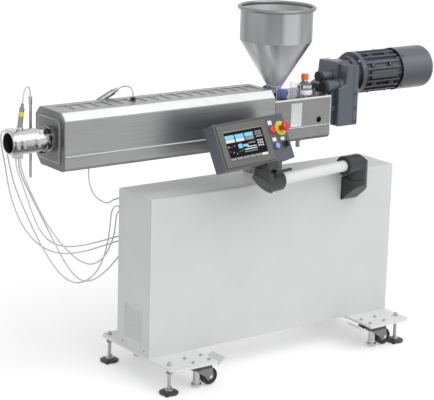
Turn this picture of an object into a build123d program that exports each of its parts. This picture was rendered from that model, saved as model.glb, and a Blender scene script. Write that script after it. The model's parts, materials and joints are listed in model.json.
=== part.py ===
"""Single-screw laboratory plastics extruder on a cabinet with castors.

Millimetres, +Z up, floor at Z = 0. X runs along the barrel towards the drive,
Y to the back; the origin is under the middle of the machine.
"""
import os
from math import atan2, cos, degrees, hypot, pi, radians, sin, sqrt, tan

from build123d import *

os.makedirs("parts", exist_ok=True)

# Clearances
FACE_GAP = 0.3
RUN_GAP = 0.06
SLIP_GAP = 0.1
SEAM_GAP = 1.5

# Shift that brings the middle of the footprint over the origin
MID_Y = 45.9

# Base plates, levelling feet and castors
PLATE_UNDER = 110.0
PLATE_T = 10.0
PLATE_W = 227.0
PLATE_L = 543.0
PLATE_OUT = 289.0
PLATE_CUT = 18.0
FOOT_IN = 29.0
FOOT_EDGE = 64.0
FOOT_BACK = 29.0
FOOT_R = 40.0
FOOT_H = 15.0
FOOT_LUG = 9.0
FOOT_BOSS = 7.0
FOOT_BOSS_IN = 10.0
FOOT_BOSS_H = 18.0
STEM_R = 8.0
STEM_FLANGE_R = 17.0
STEM_FLANGE_H = 6.0
NUT_AF = 24.0
NUT_H = 12.0
STEM_TOP = 6.0
CASTOR_IN = 165.0
CASTOR_EDGE = 64.0
CASTOR_BACK = 49.0
CASTOR_PLATE_L = 104.0
CASTOR_PLATE_W = 84.0
CASTOR_PLATE_T = 5.0
HEAD_IN = 4.0
HEAD_CUT = 5.0
HEAD_H = 14.0
KING_R = 15.0
LOCK_R = 22.0
LOCK_H = 9.0
LOCK_LIFT = 8.0
WHEEL_R = 37.0
WHEEL_W = 27.0
WHEEL_LIFT = 3.0
WHEEL_TRAIL = 60.0
HUB_R = 17.0
AXLE_R = 6.0
FORK_T = 4.0
FORK_SIDE = 2.0
FORK_TOP = 11.0
FORK_R = 30.0
FORK_EYE = 13.0
PEDAL_W = 92.0
PEDAL_ARM_W = 34.0
PEDAL_ARM_L = 40.0
PEDAL_T = 5.0
PEDAL_L = 72.0
PEDAL_RISE = 24.0
PEDAL_LIFT = 6.0

# Cabinet
CAB_X = -472.0
CAB_L = 1280.0
CAB_D = 240.0
CAB_H = 671.0
CAB_FOLD = 10.0
SIDE_RIM = 5.0
SIDE_T = 7.0
SIDE_GAP = 0.6
HOOD_UP = 186.0
HOOD_H = 158.0
HOOD_DEPTH = 3.5
HOOD_SIDE = 48.0
LOUVRE_N = 12
LOUVRE_PITCH = 11.0
LOUVRE_DEPTH = 1.6
LOUVRE_DROP = 14.0
SIDE_HOLE_UP = 16.0
SIDE_HOLES = ((80.0, 4.0), (50.0, 2.6))

# Barrel guard and barrel
GUARD_X0 = -865.0
GUARD_X1 = 146.0
GUARD_Z0 = 947.0
GUARD_H = 228.0
GUARD_W = 216.0
GUARD_TOP_W = 154.0
GUARD_SHOULDER = 32.0
GUARD_TOE = 13.0
GUARD_TOE_BACK = 40.0
GUARD_SHEET = 3.0
SEAM_UP = 61.0
LIP_OUT = 2.5
LIP_H = 5.0
SLOT_N = 17
SLOT_L = 44.0
SLOT_W = 78.0
SLOT_PITCH = 56.0
SLOT_X0 = -822.0
END_T = 5.0
END_STEP = 6.0
END_RIM = 26.0
END_CUT = 13.0
AXIS_UP = 115.0
BARREL_R = 34.0
BARREL_BAND_R = 45.0
BARREL_BAND_L = 150.0
BARREL_BAND_N = 5
BARREL_BAND_PITCH = 186.0

# Die head
DIE_X0 = -1052.0
DIE_R = 46.0
DIE_BORE_R = 39.0
DIE_BORE_L = 70.0
DIE_FLANGE_R = 57.0
DIE_FLANGE_T = 16.0
CLAMP_R = 52.0
CLAMP_T = 14.0
BAND_T = 2.5
BAND_W = 108.0
BAND_IN = 6.0
LUG_AT = (7.0, 34.0, 96.0)
LUG_L = 16.0
LUG_H = 9.0
LUG_W = 12.0
BAND_NOTCH = 16.0
TERM_W = 34.0
TERM_D = 28.0
TERM_BACK_H = 22.0
PORT_R = 12.0
PORT_H = 12.0
PORT_X = -1002.0
SENSOR_LEAN = 8.0
SENSOR_R = 10.0
SENSOR_L = 74.0
SENSOR_NECK_R = 6.0
SENSOR_NECK_L = 16.0
ROD_X = -920.0
ROD_Y = 62.0
ROD_R = 8.0
ROD_Z0 = 900.0
ROD_Z1 = 1222.0
ROD_CLIP_W = 26.0
ROD_CLIP_T = 5.0

# Sensor on the guard
TAIL_X = -600.0
TAIL_Y = 88.0
TAIL_Z = -11.0
TAIL_LEAN = 65.2
TAIL_R = 12.0
TAIL_L = 82.5
TAIL_NECK_R = 8.0
TAIL_NECK_L = 20.0
TAIL_FOOT_R = 15.0
TAIL_FOOT_H = 8.0
GLAND_R = 11.0

# Feed housing, hopper and what stands on the lid
FEED_L = 300.0
LID_T = 10.0
FEED_H = 173.0
WINDOW_X = 87.0
WINDOW_L = 56.0
WINDOW_Z = 65.0
WINDOW_H = 99.0
WINDOW_DEPTH = 62.0
PORT_HOLE_X = 237.0
PORT_HOLE_Z = 84.0
PORT_HOLE_R = 13.0
PORT_HOLE_DEPTH = 40.0
NOZZLE_X = 182.0
NOZZLE_Y = -40.0
NOZZLE_R = 9.0
NOZZLE_L = 42.0
NOZZLE_AF = 24.0
NOZZLE_NUT = 14.0
HOPPER_X = 76.0
HOPPER_R = 152.0
HOPPER_SHEET = 2.5
HOPPER_CYL = 137.0
HOPPER_CONE = 205.0
HOPPER_PIPE = 32.0
HOPPER_OUT_R = 26.0
RIM_R = 8.0
COLLAR_R = 37.0
COLLAR_H = 14.0
KNOB_R = 24.0
KNOB_H = 36.0
KNOB_X = 4.0
KNOB_Y = 50.0
KNOB_LOBES = 6
KNOB_FLUTE = 7.0
SHIELD_T = 5.0
SHIELD_X0 = 20.0
SHIELD_L = 132.0
SHIELD_Y = 84.0
SHIELD_D = 64.0
SHIELD_H = 54.0
BOTTLE_X = 188.0
BOTTLE_Y = -64.0
BOTTLE_R = 31.0
BOTTLE_BODY = 52.0
BOTTLE_SHOULDER = 10.0
BOTTLE_NECK_R = 13.0
BOTTLE_NECK = 8.0
CAP_R = 16.0
CAP_H = 24.0

# Support between cabinet and feed housing
PED_X0 = 0.0
PED_L = 173.0
PED_Y0 = 44.0
PED_D = 60.0
PED_EDGE = 8.0

# Gearbox and motor
GEAR_GAP = 50.0
GEAR_T = 110.0
GEAR_W = 200.0
GEAR_DROP = 77.0
GEAR_STEP = 88.0
GEAR_H = 262.0
GEAR_SLAB = 72.0
GEAR_EDGE = 6.0
GEAR_TOP_EDGE = 12.0
GEAR_RAMP = 16.0
GEAR_RAKE = 9.0
GEAR_CREST = 16.0
GEAR_SEAM = 30.0
GEAR_SEAM_W = 2.0
NOSE_W = 92.0
NOSE_UP = 8.0
NOSE_IN = 26.0
NOSE_LEAN = 8.0
NECK_R = 58.0
NECK_RIB = 12.0
NECK_RIB_Y = 66.0
NECK_RIB_L = 18.0
PLUG_R = 13.0
PLUG_L = 10.0
BOSS_RIM = 5.0
BOSS_RIM_L = 10.0
BOSS_SINK = 46.0
BOSS_R = 23.0
BOSS_Y = -62.0
BOSS_Z = 98.0
BOSS_L = 46.0
BOSS2_R = 18.0
BOSS2_Y = -18.0
BOSS2_Z = 134.0
BOSS2_L = 38.0
BUFFER_R = 26.0
BUFFER2_R = 22.0
BUFFER_T = 17.0
STUD_X = 262.0
STUD_Y = -38.0
STUD_R = 6.0
STUD_H = 22.0
PUCK_R = 12.0
PUCK_H = 20.0
MOTOR_UP = 130.0
ADAPTER_R = 76.0
ADAPTER_L = 32.0
MFLANGE_R = 92.0
MFLANGE_L = 23.0
FIN_L = 217.0
FIN_R = 91.0
CORE_R = 77.0
FIN_N = 20
FIN_T = 8.0
FIN_ROOT = 2.0
PAD_W = 34.0
PAD_L = 150.0
PAD_X = 30.0
PAD_DROP = 3.0
EAR_R = 13.0
EAR_IN = 4.0
EAR_L = 16.0
COWL_R = 93.5
COWL_L = 181.0
COWL_SHEET = 3.0
COWL_LAP = 8.0
COWL_EDGE = 14.0
GRILLE_N = 8
GRILLE_R0 = 26.0
GRILLE_R1 = 66.0
GRILLE_W = 10.0
TBOX_L = 112.0
TBOX_H = 104.0
TBOX_D = 58.0
TBOX_X = 44.0
TBOX_EDGE = 6.0

# Swing arm and operator panel
PIVOT_X = 558.0
ELBOW_R = 42.0
ELBOW_OUT = 54.0
WALL_DROP = 123.0
WALL_H = 97.0
WALL_FLANGE = 4.0
WALL_FLANGE_RIM = 2.0
WALL_SLOPE = 40.0
WALL_TOE = 8.0
TUBE_UP = 70.0
TUBE_R = 24.0
SOCKET = 26.0
ELBOW_LEG = 95.0
ELBOW_RISE = 70.0
ELBOW_FACET = 3.0
ELBOW_CUT = 22.0
ELBOW_BEVEL = 1.5
ARM_REACH = 593.0
ARM_YAW = 8.9
SPIGOT_R = 18.0
SPIGOT_H = 20.0
LEVER_R = 6.0
LEVER_L = 84.0
LEVER_DROP = 17.0
LEVER_HUB_R = 9.0
LEVER_HUB_L = 14.0
LEVER_U = 26.0
RING_R = 27.0
RING_H = 5.0
WEDGE_W = 62.0
PANEL_W = 398.6
PANEL_H = 190.0
PANEL_D = 56.0
PANEL_EDGE = 4.0
PANEL_TILT = 26.2
PANEL_U = -68.6
PANEL_B = -8.5
BEZEL_U = -49.0
BEZEL_W = 274.0
BEZEL_H = 172.0
BEZEL_T = 2.5
SCREEN_U = -48.0
SCREEN_V = -1.5
SCREEN_W = 216.0
SCREEN_H = 121.0
SCREEN_SINK = 1.0
COL_A = 117.0
COL_B = 166.0
ROW_A = 34.0
ROW_B = -34.0
LAMP_R = 14.0
LAMP_H = 11.0
STOP_RING_R = 30.0
STOP_RING_T = 4.0
STOP_STEM_R = 11.0
STOP_HEAD_R = 20.0
STOP_HEAD_H = 16.0
STOP_GAP = 22.0
STOP_TRAVEL = 5.0
BUTTON_RING_R = 15.0
BUTTON_RING_T = 5.0
BUTTON_R = 11.5
BUTTON_UP = 4.0
BUTTON_TRAVEL = 3.0
WELL = 14.0
KNOB_BASE_R = 11.0
KNOB_BASE_H = 6.0
KNOB_BAR_L = 24.0
KNOB_BAR_W = 8.0
KNOB_BAR_H = 12.0

# Cable glands and leads; each lead is a list of hand-chosen points
PORT_NUT_AF = 19.0
PORT_NUT_L = 9.0
PORT_CONE_R = 7.5
CORD_R = 3.0
CORD_EASE = 0.45
LEADS = {
    "heater_lead_a": [
        (-1019, 0, 1000), (-1019, 0, 978), (-1009, 4, 946), (-987, 13, 900), (-955, 29, 832),
        (-922, 44, 758), (-884, 62, 688), (-832, 86, 629), (-766, 114, 588), (-692, 142, 564),
        (-615, 166, 553), (-540, 183, 551), (-489, 190, 553), (-455, 192, 556), (-425, 192, 559),
        (-408, 182, 561), (-398, 165, 562), (-398, 145, 562),
    ],
    "heater_lead_b": [
        (-1003, -8, 1000), (-1003, -8, 978), (-992, 0, 948), (-971, 10, 905), (-937, 21, 841),
        (-898, 33, 773), (-856, 46, 708), (-809, 62, 646), (-757, 82, 590), (-702, 104, 538),
        (-642, 129, 494), (-574, 157, 465), (-502, 184, 476), (-455, 200, 529), (-437, 205, 575),
        (-433, 206, 607), (-429, 206, 645), (-427, 193, 667), (-426, 171, 680), (-426, 145, 680),
    ],
    "heater_lead_c": [
        (-1003, 8, 1000), (-1003, 8, 978), (-996, 11, 946), (-975, 19, 902), (-938, 33, 840),
        (-898, 46, 773), (-858, 58, 705), (-818, 71, 639), (-777, 86, 573), (-734, 103, 508),
        (-685, 122, 449), (-625, 144, 404), (-551, 168, 396), (-485, 184, 423), (-445, 190, 452),
        (-421, 192, 474), (-398, 192, 494), (-386, 182, 505), (-378, 165, 512), (-378, 145, 512),
    ],
    "probe_lead_a": [
        (-1022, 60, 1094), (-1022, 80, 1094), (-1024, 97, 1086), (-1026, 107, 1068), (-1023, 109, 1037),
        (-1017, 109, 1003), (-1008, 107, 954), (-998, 104, 883), (-981, 103, 808), (-952, 103, 732),
        (-912, 107, 665), (-859, 114, 608), (-795, 126, 565), (-723, 142, 539), (-648, 160, 528),
        (-571, 175, 526), (-499, 186, 531), (-451, 191, 536), (-419, 192, 539), (-389, 192, 542),
        (-372, 182, 544), (-362, 165, 545), (-362, 145, 545),
    ],
    "probe_lead_b": [
        (-1008, 60, 1094), (-1008, 80, 1094), (-1009, 97, 1084), (-1009, 107, 1067), (-1005, 108, 1037),
        (-999, 107, 1003), (-989, 107, 953), (-972, 106, 881), (-945, 104, 806), (-912, 102, 732),
        (-877, 103, 659), (-839, 107, 589), (-796, 115, 523), (-746, 128, 461), (-686, 145, 412),
        (-613, 166, 391), (-540, 186, 413), (-492, 199, 474), (-469, 204, 545), (-461, 205, 594),
        (-457, 206, 627), (-453, 206, 665), (-451, 193, 687), (-450, 171, 700), (-450, 145, 700),
    ],
    "tray_lead": [
        (-712, -30, 934), (-712, -30, 914), (-706, -23, 881), (-684, -1, 840), (-639, 42, 795),
        (-583, 89, 757), (-526, 132, 728), (-490, 165, 719), (-463, 186, 720), (-436, 192, 723),
        (-420, 182, 725), (-410, 165, 726), (-410, 145, 726),
    ],
}
BACK_LEADS = tuple(LEADS)
UNDER_LEADS = ("heater_lead_a", "heater_lead_b", "heater_lead_c")
SIDE_LEADS = ("probe_lead_a", "probe_lead_b")
LOOP_OUT = 14.0
MELT_LOOP = [
    (-980.4, 6.4, 1246.7), (-965.8, 19.4, 1263), (-946.9, 36.3, 1266.5), (-929.7, 51.6, 1255.6),
    (-920, 62, 1234)]
GUARD_LOOP = [
    (-481, 77, 1219), (-475, 57, 1221), (-478, 36, 1221), (-482, 18, 1215), (-484, 7.5, 1201),
    (-484, 7.5, 1187)]

# Places that follow from the sizes
PLATE_TOP = PLATE_UNDER + PLATE_T
CAB_X1 = CAB_X + CAB_L
CAB_TOP = PLATE_TOP + CAB_H
CAB_FRONT = -CAB_D / 2
CAB_BACK = CAB_D / 2
PLATE_SPANS = ((CAB_X, CAB_X + PLATE_W), (CAB_X1 - PLATE_W, CAB_X1))
PLATE_Y0 = -PLATE_OUT
PLATE_Y1 = PLATE_Y0 + PLATE_L
FOOT_YS = (PLATE_Y0 + FOOT_EDGE, PLATE_Y1 - FOOT_BACK)
CASTOR_YS = (PLATE_Y0 + CASTOR_EDGE, PLATE_Y1 - CASTOR_BACK)
FOOT_SPOTS = [(x, y) for x in (CAB_X + FOOT_IN, CAB_X1 - FOOT_IN) for y in FOOT_YS]
CASTOR_SPOTS = {
    "front_left": (CAB_X + CASTOR_IN, CASTOR_YS[0], 1),
    "rear_left": (CAB_X + CASTOR_IN, CASTOR_YS[1], 1),
    "front_right": (CAB_X1 - CASTOR_IN, CASTOR_YS[0], -1),
    "rear_right": (CAB_X1 - CASTOR_IN, CASTOR_YS[1], -1),
}
GUARD_TOP = GUARD_Z0 + GUARD_H
SEAM_Z = GUARD_Z0 + SEAM_UP
AXIS_Z = GUARD_Z0 + AXIS_UP
FEED_X1 = GUARD_X1 + FEED_L
FEED_TOP = GUARD_Z0 + FEED_H
LID_TOP = FEED_TOP + LID_T
HOP_X = GUARD_X1 + HOPPER_X
GEAR_X0 = FEED_X1 + GEAR_GAP
GEAR_X1 = GEAR_X0 + GEAR_T
GEAR_Z0 = AXIS_Z - GEAR_DROP
MOTOR_Z = AXIS_Z + MOTOR_UP
MOTOR_X = GEAR_X1 + ADAPTER_L + MFLANGE_L
COWL_X0 = MOTOR_X + FIN_L - COWL_LAP
COWL_X1 = COWL_X0 + COWL_L
END_X = GUARD_X0 - END_T
BAND_X = DIE_X0 + BAND_IN
DIE_X1 = END_X - END_STEP - DIE_FLANGE_T - CLAMP_T
WALL_Z0 = CAB_TOP - WALL_DROP
JOINT_Z = WALL_Z0 + WALL_H
TUBE_Z = JOINT_Z + TUBE_UP
ELBOW_TOP = TUBE_Z + ELBOW_RISE
PIVOT_Y = CAB_FRONT - ELBOW_OUT
RING_TOP = ELBOW_TOP + FACE_GAP + RING_H
PANEL_Z = RING_TOP + PANEL_H / 2 * cos(radians(PANEL_TILT)) + PANEL_D * sin(radians(PANEL_TILT))
ARM_AT = Pos(PIVOT_X, PIVOT_Y, 0) * Rot(0, 0, ARM_YAW)
END_AT = ARM_AT * Pos(-ARM_REACH, 0, 0)
PANEL_AT = END_AT * Pos(PANEL_U, PANEL_B, PANEL_Z) * Rot(-PANEL_TILT, 0, 0)


def block(x0, x1, y0, y1, z0, z1):
    """Return the box between two corners."""
    return Pos((x0 + x1) / 2, (y0 + y1) / 2, (z0 + z1) / 2) * Box(x1 - x0, y1 - y0, z1 - z0)


def bar_x(x0, x1, y, z, r):
    """Return a cylinder along X."""
    return Pos((x0 + x1) / 2, y, z) * Rot(0, 90, 0) * Cylinder(r, x1 - x0)


def bar_y(x, y0, y1, z, r):
    """Return a cylinder along Y."""
    return Pos(x, (y0 + y1) / 2, z) * Rot(90, 0, 0) * Cylinder(r, y1 - y0)


def bar_z(x, y, z0, z1, r):
    """Return a cylinder along Z."""
    return Pos(x, y, (z0 + z1) / 2) * Cylinder(r, z1 - z0)


def hex_z(x, y, z0, z1, flats):
    """Return an upright hexagon prism."""
    sketch = RegularPolygon(flats / 2, 6, major_radius=False)
    return extrude(Pos(x, y, z0) * sketch, z1 - z0)


def spin_z(points, x=0.0, y=0.0):
    """Revolve (radius, height) points about a vertical axis."""
    return Pos(x, y, 0) * revolve(Plane.XZ * make_face(Polyline(*points, close=True)), Axis.Z)


def spin_x(points, y, z):
    """Revolve (x, radius) points about an axis along X."""
    return Pos(0, y, z) * revolve(Plane.XZ * make_face(Polyline(*points, close=True)), Axis.X)


def prism_x(points, x0, x1):
    """Extrude (y, z) points along X."""
    ring = Polyline(*[(x0, y, z) for y, z in points], close=True)
    return extrude(make_face(ring), amount=x1 - x0, dir=(1, 0, 0))


def prism_y(points, y0, y1):
    """Extrude (x, z) points along Y."""
    ring = Polyline(*[(x, y0, z) for x, z in points], close=True)
    return extrude(make_face(ring), amount=y1 - y0, dir=(0, 1, 0))


def edges_along(shape, axis):
    """Return the straight edges parallel to an axis."""
    return shape.edges().filter_by(axis)


def save(name, *solids):
    """Write the solids of one node."""
    flat = [Pos(0, MID_Y, 0) * s for item in solids for s in item.solids()]
    export_step(Compound(children=flat) if len(flat) > 1 else flat[0], f"parts/{name}.step")


# Base plates
plates = []
for number, (x0, x1) in enumerate(PLATE_SPANS):
    outline = block(x0, x1, PLATE_Y0, PLATE_Y1, PLATE_UNDER, PLATE_TOP)
    outer = edges_along(outline, Axis.Z).sort_by(Axis.X)
    outline = chamfer(outer[:2] if number == 0 else outer[2:], PLATE_CUT)
    for x, y in FOOT_SPOTS:
        outline -= bar_z(x, y, PLATE_UNDER - 1, PLATE_TOP + 1, STEM_R + SLIP_GAP)
    plates.append(outline)
save("base_plates", *plates)

# Levelling feet
pads = []
stems = []
for x, y in FOOT_SPOTS:
    pad = spin_z(
        [(0, 0), (FOOT_R - 3, 0), (FOOT_R, 3), (FOOT_R, 8), (FOOT_R - 5, 11),
         (STEM_FLANGE_R + 3, FOOT_H), (0, FOOT_H)], x, y)
    for turn in (45, 225):
        pad += Pos(x, y, 0) * Rot(0, 0, turn) * Pos(FOOT_R, 0, 3) * Cylinder(FOOT_LUG, 6)
        pad += Pos(x, y, 0) * Rot(0, 0, turn) * bar_z(FOOT_R - FOOT_BOSS_IN, 0, 3, FOOT_BOSS_H, FOOT_BOSS)
    pads.append(pad)
    stem = bar_z(x, y, FOOT_H, PLATE_TOP + NUT_H + STEM_TOP, STEM_R)
    stem += bar_z(x, y, FOOT_H, FOOT_H + STEM_FLANGE_H, STEM_FLANGE_R)
    stem += hex_z(x, y, PLATE_UNDER - NUT_H, PLATE_UNDER, NUT_AF)
    stem += hex_z(x, y, PLATE_TOP, PLATE_TOP + NUT_H, NUT_AF)
    stems.append(stem)
save("foot_pads", *pads)
save("foot_stems", *stems)

# Castors: fixed head with floor lock, pedal, swivel fork and wheel
HEAD_TOP = PLATE_UNDER - CASTOR_PLATE_T
HEAD_Z0 = HEAD_TOP - HEAD_H
FORK_Z1 = HEAD_Z0 - FACE_GAP
FORK_Z0 = FORK_Z1 - FORK_TOP
WHEEL_Z = WHEEL_R + WHEEL_LIFT
FORK_IN = WHEEL_W / 2 + FORK_SIDE
heads = []
for place, (x, y, inward) in CASTOR_SPOTS.items():
    half_l = CASTOR_PLATE_L / 2
    half_w = CASTOR_PLATE_W / 2
    head = block(x - half_l, x + half_l, y - half_w, y + half_w, HEAD_TOP, PLATE_UNDER)
    head = fillet(edges_along(head, Axis.Z), 10)
    box_l = half_l - HEAD_IN
    box_w = half_w - HEAD_IN
    box = block(x - box_l, x + box_l, y - box_w, y + box_w, HEAD_Z0, HEAD_TOP)
    head += chamfer(box.faces().sort_by(Axis.Z)[0].edges(), HEAD_CUT)
    head += spin_z(
        [(0, LOCK_LIFT), (LOCK_R, LOCK_LIFT), (LOCK_R, LOCK_LIFT + LOCK_H), (KING_R, LOCK_LIFT + LOCK_H),
         (KING_R, HEAD_TOP), (0, HEAD_TOP)], x, y)
    reach = box_l - HEAD_CUT
    bend = reach + PEDAL_ARM_L
    tip_x = reach + PEDAL_L
    low = HEAD_Z0 + PEDAL_LIFT
    arm = [(reach, low), (bend, low), (bend, low + PEDAL_T), (reach, low + PEDAL_T)]
    high = low + PEDAL_RISE
    lip = [(bend - PEDAL_T, low), (bend, low), (tip_x, high), (tip_x - PEDAL_T, high + PEDAL_T / 2),
           (bend - PEDAL_T, low + PEDAL_T)]
    pedal = prism_y([(inward * px, pz) for px, pz in arm], -PEDAL_ARM_W / 2, PEDAL_ARM_W / 2)
    pedal += prism_y([(inward * px, pz) for px, pz in lip], -PEDAL_W / 2, PEDAL_W / 2)
    heads.append(head + Pos(x, y, 0) * pedal)
    axle_x = WHEEL_TRAIL
    cheek = make_hull([
        *(Pos(axle_x, WHEEL_Z) * Circle(FORK_EYE)).edges(),
        *(Pos(-4, FORK_Z1 - 4) * Rectangle(44, 8)).edges(),
        *(Pos(34, FORK_Z1 - 4) * Rectangle(60, 8)).edges(),
    ])
    left_cheek = extrude(Plane.XZ * cheek, FORK_T)
    fork = bar_z(0, 0, FORK_Z0, FORK_Z1, FORK_R)
    fork += block(0, axle_x, -FORK_IN - FORK_T, FORK_IN + FORK_T, FORK_Z1 - 5, FORK_Z1)
    fork += Pos(0, -FORK_IN, 0) * left_cheek
    fork += Pos(0, FORK_IN + FORK_T, 0) * left_cheek
    fork -= bar_y(axle_x, -FORK_IN, FORK_IN, WHEEL_Z, WHEEL_R + 2)
    fork += bar_y(axle_x, -FORK_IN - FORK_T - 2, FORK_IN + FORK_T + 2, WHEEL_Z, AXLE_R)
    fork -= bar_z(0, 0, FORK_Z0 - 1, FORK_Z1 + 1, KING_R + RUN_GAP)
    save(f"castor_fork_{place}", Pos(x, y, 0) * fork)
    half = WHEEL_W / 2
    hub = FORK_IN - FACE_GAP
    wheel = revolve(Plane.XY * make_face(Polyline(
        (AXLE_R + RUN_GAP, -hub), (HUB_R - 6, -hub), (HUB_R - 4, -half + 2), (WHEEL_R - 10, -half + 4),
        (WHEEL_R - 7, -half), (WHEEL_R - 2, -half), (WHEEL_R, -half + 3), (WHEEL_R, half - 3),
        (WHEEL_R - 2, half), (WHEEL_R - 7, half), (WHEEL_R - 10, half - 4), (HUB_R - 4, half - 2),
        (HUB_R - 6, hub), (AXLE_R + RUN_GAP, hub), close=True)), Axis.Y)
    save(f"castor_wheel_{place}", Pos(x + axle_x, y, WHEEL_Z) * wheel)
save("castor_heads", *heads)

# Cabinet with recessed ends
cabinet = block(CAB_X, CAB_X1, CAB_FRONT, CAB_BACK, PLATE_TOP, CAB_TOP)
cabinet = fillet(edges_along(cabinet, Axis.X).sort_by(Axis.Z)[2:], CAB_FOLD)
recess_y = CAB_D / 2 - SIDE_RIM
recess_z = (PLATE_TOP + SIDE_RIM, CAB_TOP - SIDE_RIM)
for x0, x1 in ((CAB_X - 1, CAB_X + SIDE_T), (CAB_X1 - SIDE_T, CAB_X1 + 1)):
    cabinet -= block(x0, x1, -recess_y, recess_y, *recess_z)
save("cabinet", cabinet)
edge = recess_y - SIDE_GAP
hood_z = recess_z[0] + HOOD_UP
teeth = [(-1, hood_z), (HOOD_DEPTH, hood_z)]
for row in range(LOUVRE_N):
    drop = LOUVRE_DROP + row * LOUVRE_PITCH
    slope = HOOD_DEPTH * (1 - drop / HOOD_H)
    teeth += [(slope, hood_z - drop), (slope + LOUVRE_DEPTH, hood_z - drop)]
teeth += [(0, hood_z - HOOD_H), (-1, hood_z - HOOD_H)]
side_panels = []
for face_x, inward in ((CAB_X, 1), (CAB_X1, -1)):
    x0, x1 = sorted((face_x, face_x + inward * SIDE_T))
    panel = block(x0, x1, -edge, edge, recess_z[0] + SIDE_GAP, recess_z[1] - SIDE_GAP)
    panel -= prism_y([(face_x + inward * deep, z) for deep, z in teeth], -edge + HOOD_SIDE, edge - HOOD_SIDE)
    for y, r in SIDE_HOLES:
        for side in (-y, y):
            panel -= bar_x(x0 - 1, x1 + 1, side, recess_z[0] + SIDE_HOLE_UP, r)
    side_panels.append(panel)
save("side_panels", *side_panels)

# Pedestal
pedestal = block(GUARD_X1 + PED_X0, GUARD_X1 + PED_X0 + PED_L, PED_Y0, PED_Y0 + PED_D, CAB_TOP, GUARD_Z0)
pedestal = fillet(edges_along(pedestal, Axis.Z), PED_EDGE)
save("pedestal", pedestal)


def guard_outline(inset):
    """Return the guard's (y, z) section, drawn in by a wall thickness."""
    half = GUARD_W / 2 - inset
    lean = (GUARD_W - GUARD_TOP_W) / 2
    slope = hypot(lean, GUARD_SHOULDER)
    cut = inset * (slope - GUARD_SHOULDER) / lean
    turn = inset * (slope - lean) / GUARD_SHOULDER
    bevel = inset * (sqrt(2) - 1)
    top = GUARD_TOP - inset
    low = GUARD_Z0 + inset
    toe = GUARD_TOE - inset + bevel
    toe_back = GUARD_TOE_BACK - inset + bevel
    return [
        (-half, low + toe), (-half + toe, low), (half - toe_back, low), (half, low + toe_back),
        (half, GUARD_TOP - GUARD_SHOULDER - cut), (GUARD_TOP_W / 2 - turn, top),
        (-GUARD_TOP_W / 2 + turn, top), (-half, GUARD_TOP - GUARD_SHOULDER - cut),
    ]


def seam_lip(side, x0, x1):
    """Return the folded lip that stands out along the seam on one side."""
    wall = GUARD_W / 2
    low = SEAM_Z - LIP_H
    section = [(wall, SEAM_Z), (wall + LIP_OUT, SEAM_Z), (wall + LIP_OUT, low + LIP_OUT), (wall, low)]
    return prism_x([(side * y, z) for y, z in section], x0, x1)


guard = prism_x(guard_outline(0), GUARD_X0, GUARD_X1)
guard -= prism_x(guard_outline(GUARD_SHEET), GUARD_X0 - 1, GUARD_X1 + 1)
far = GUARD_W
cover = guard - block(GUARD_X0 - 1, GUARD_X1 + 1, -far, far, GUARD_Z0 - 1, SEAM_Z)
for number in range(SLOT_N):
    x = SLOT_X0 + number * SLOT_PITCH
    cover -= block(x, x + SLOT_L, -SLOT_W / 2, SLOT_W / 2, GUARD_TOP - 2 * GUARD_SHEET, GUARD_TOP + 1)
tray = guard - block(GUARD_X0 - 1, GUARD_X1 + 1, -far, far, SEAM_Z, GUARD_TOP + 1)
tray += seam_lip(-1, GUARD_X0, GUARD_X1) + seam_lip(1, GUARD_X0, GUARD_X1)
save("guard_cover", cover)
save("guard_tray", tray)

# End plate with a bevelled step and the barrel inside
end_plate = prism_x(guard_outline(0), END_X, GUARD_X0)
step_y = GUARD_W / 2 - END_RIM
step = block(END_X - END_STEP, END_X, -step_y, step_y, GUARD_Z0 + END_RIM, GUARD_TOP - END_RIM)
step = chamfer(edges_along(step, Axis.X).sort_by(Axis.Z)[2:], END_CUT)
step = chamfer(step.faces().sort_by(Axis.X)[0].edges(), END_STEP - 1)
end_plate += step
end_plate -= bar_x(END_X - END_STEP - 1, GUARD_X0 + 1, 0, AXIS_Z, BARREL_R + SLIP_GAP)
save("guard_end_plate", end_plate)
barrel = bar_x(END_X - END_STEP, GUARD_X1, 0, AXIS_Z, BARREL_R)
for number in range(BARREL_BAND_N):
    x = GUARD_X0 + 40 + number * BARREL_BAND_PITCH
    barrel += bar_x(x, x + BARREL_BAND_L, 0, AXIS_Z, BARREL_BAND_R)
save("barrel", barrel)

# Die head
flange_x1 = END_X - END_STEP
flange_x0 = flange_x1 - DIE_FLANGE_T
flange = bar_x(flange_x0, flange_x1, 0, AXIS_Z, DIE_FLANGE_R)
flange = chamfer(flange.edges().filter_by(GeomType.CIRCLE).sort_by(Axis.X)[0], 4)
clamp_at = Plane(origin=(DIE_X1, 0, AXIS_Z), x_dir=(0, 1, 0), z_dir=(1, 0, 0))
clamp_ring = extrude(clamp_at * RegularPolygon(CLAMP_R, 8, major_radius=False), CLAMP_T)
clamp_ring += block(DIE_X1, DIE_X1 + CLAMP_T, -CLAMP_R - 10, -CLAMP_R + 6, AXIS_Z - 9, AXIS_Z + 9)
save("die_flange", flange + clamp_ring)
die = bar_x(DIE_X0, DIE_X1, 0, AXIS_Z, DIE_R)
die = chamfer(die.edges().filter_by(GeomType.CIRCLE).sort_by(Axis.X)[0], 2)
die -= bar_x(DIE_X0 - 1, DIE_X0 + DIE_BORE_L, 0, AXIS_Z, DIE_BORE_R)
die += bar_z(PORT_X, 0, AXIS_Z + DIE_R - 8, AXIS_Z + DIE_R + PORT_H, PORT_R) - bar_x(
    DIE_X0, DIE_X1, 0, AXIS_Z, DIE_R - 4)
save("die_head", die)
band_r = DIE_R + BAND_T
band_x1 = BAND_X + BAND_W
band = bar_x(BAND_X, band_x1, 0, AXIS_Z, band_r)
for x in (BAND_X + at for at in LUG_AT):
    lug_x = (x - LUG_W / 2, x + LUG_W / 2)
    band += block(*lug_x, -band_r - LUG_H, -band_r + LUG_H, AXIS_Z - LUG_L, AXIS_Z + LUG_L)
under_x = [LEADS[name][0][0] for name in UNDER_LEADS]
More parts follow.
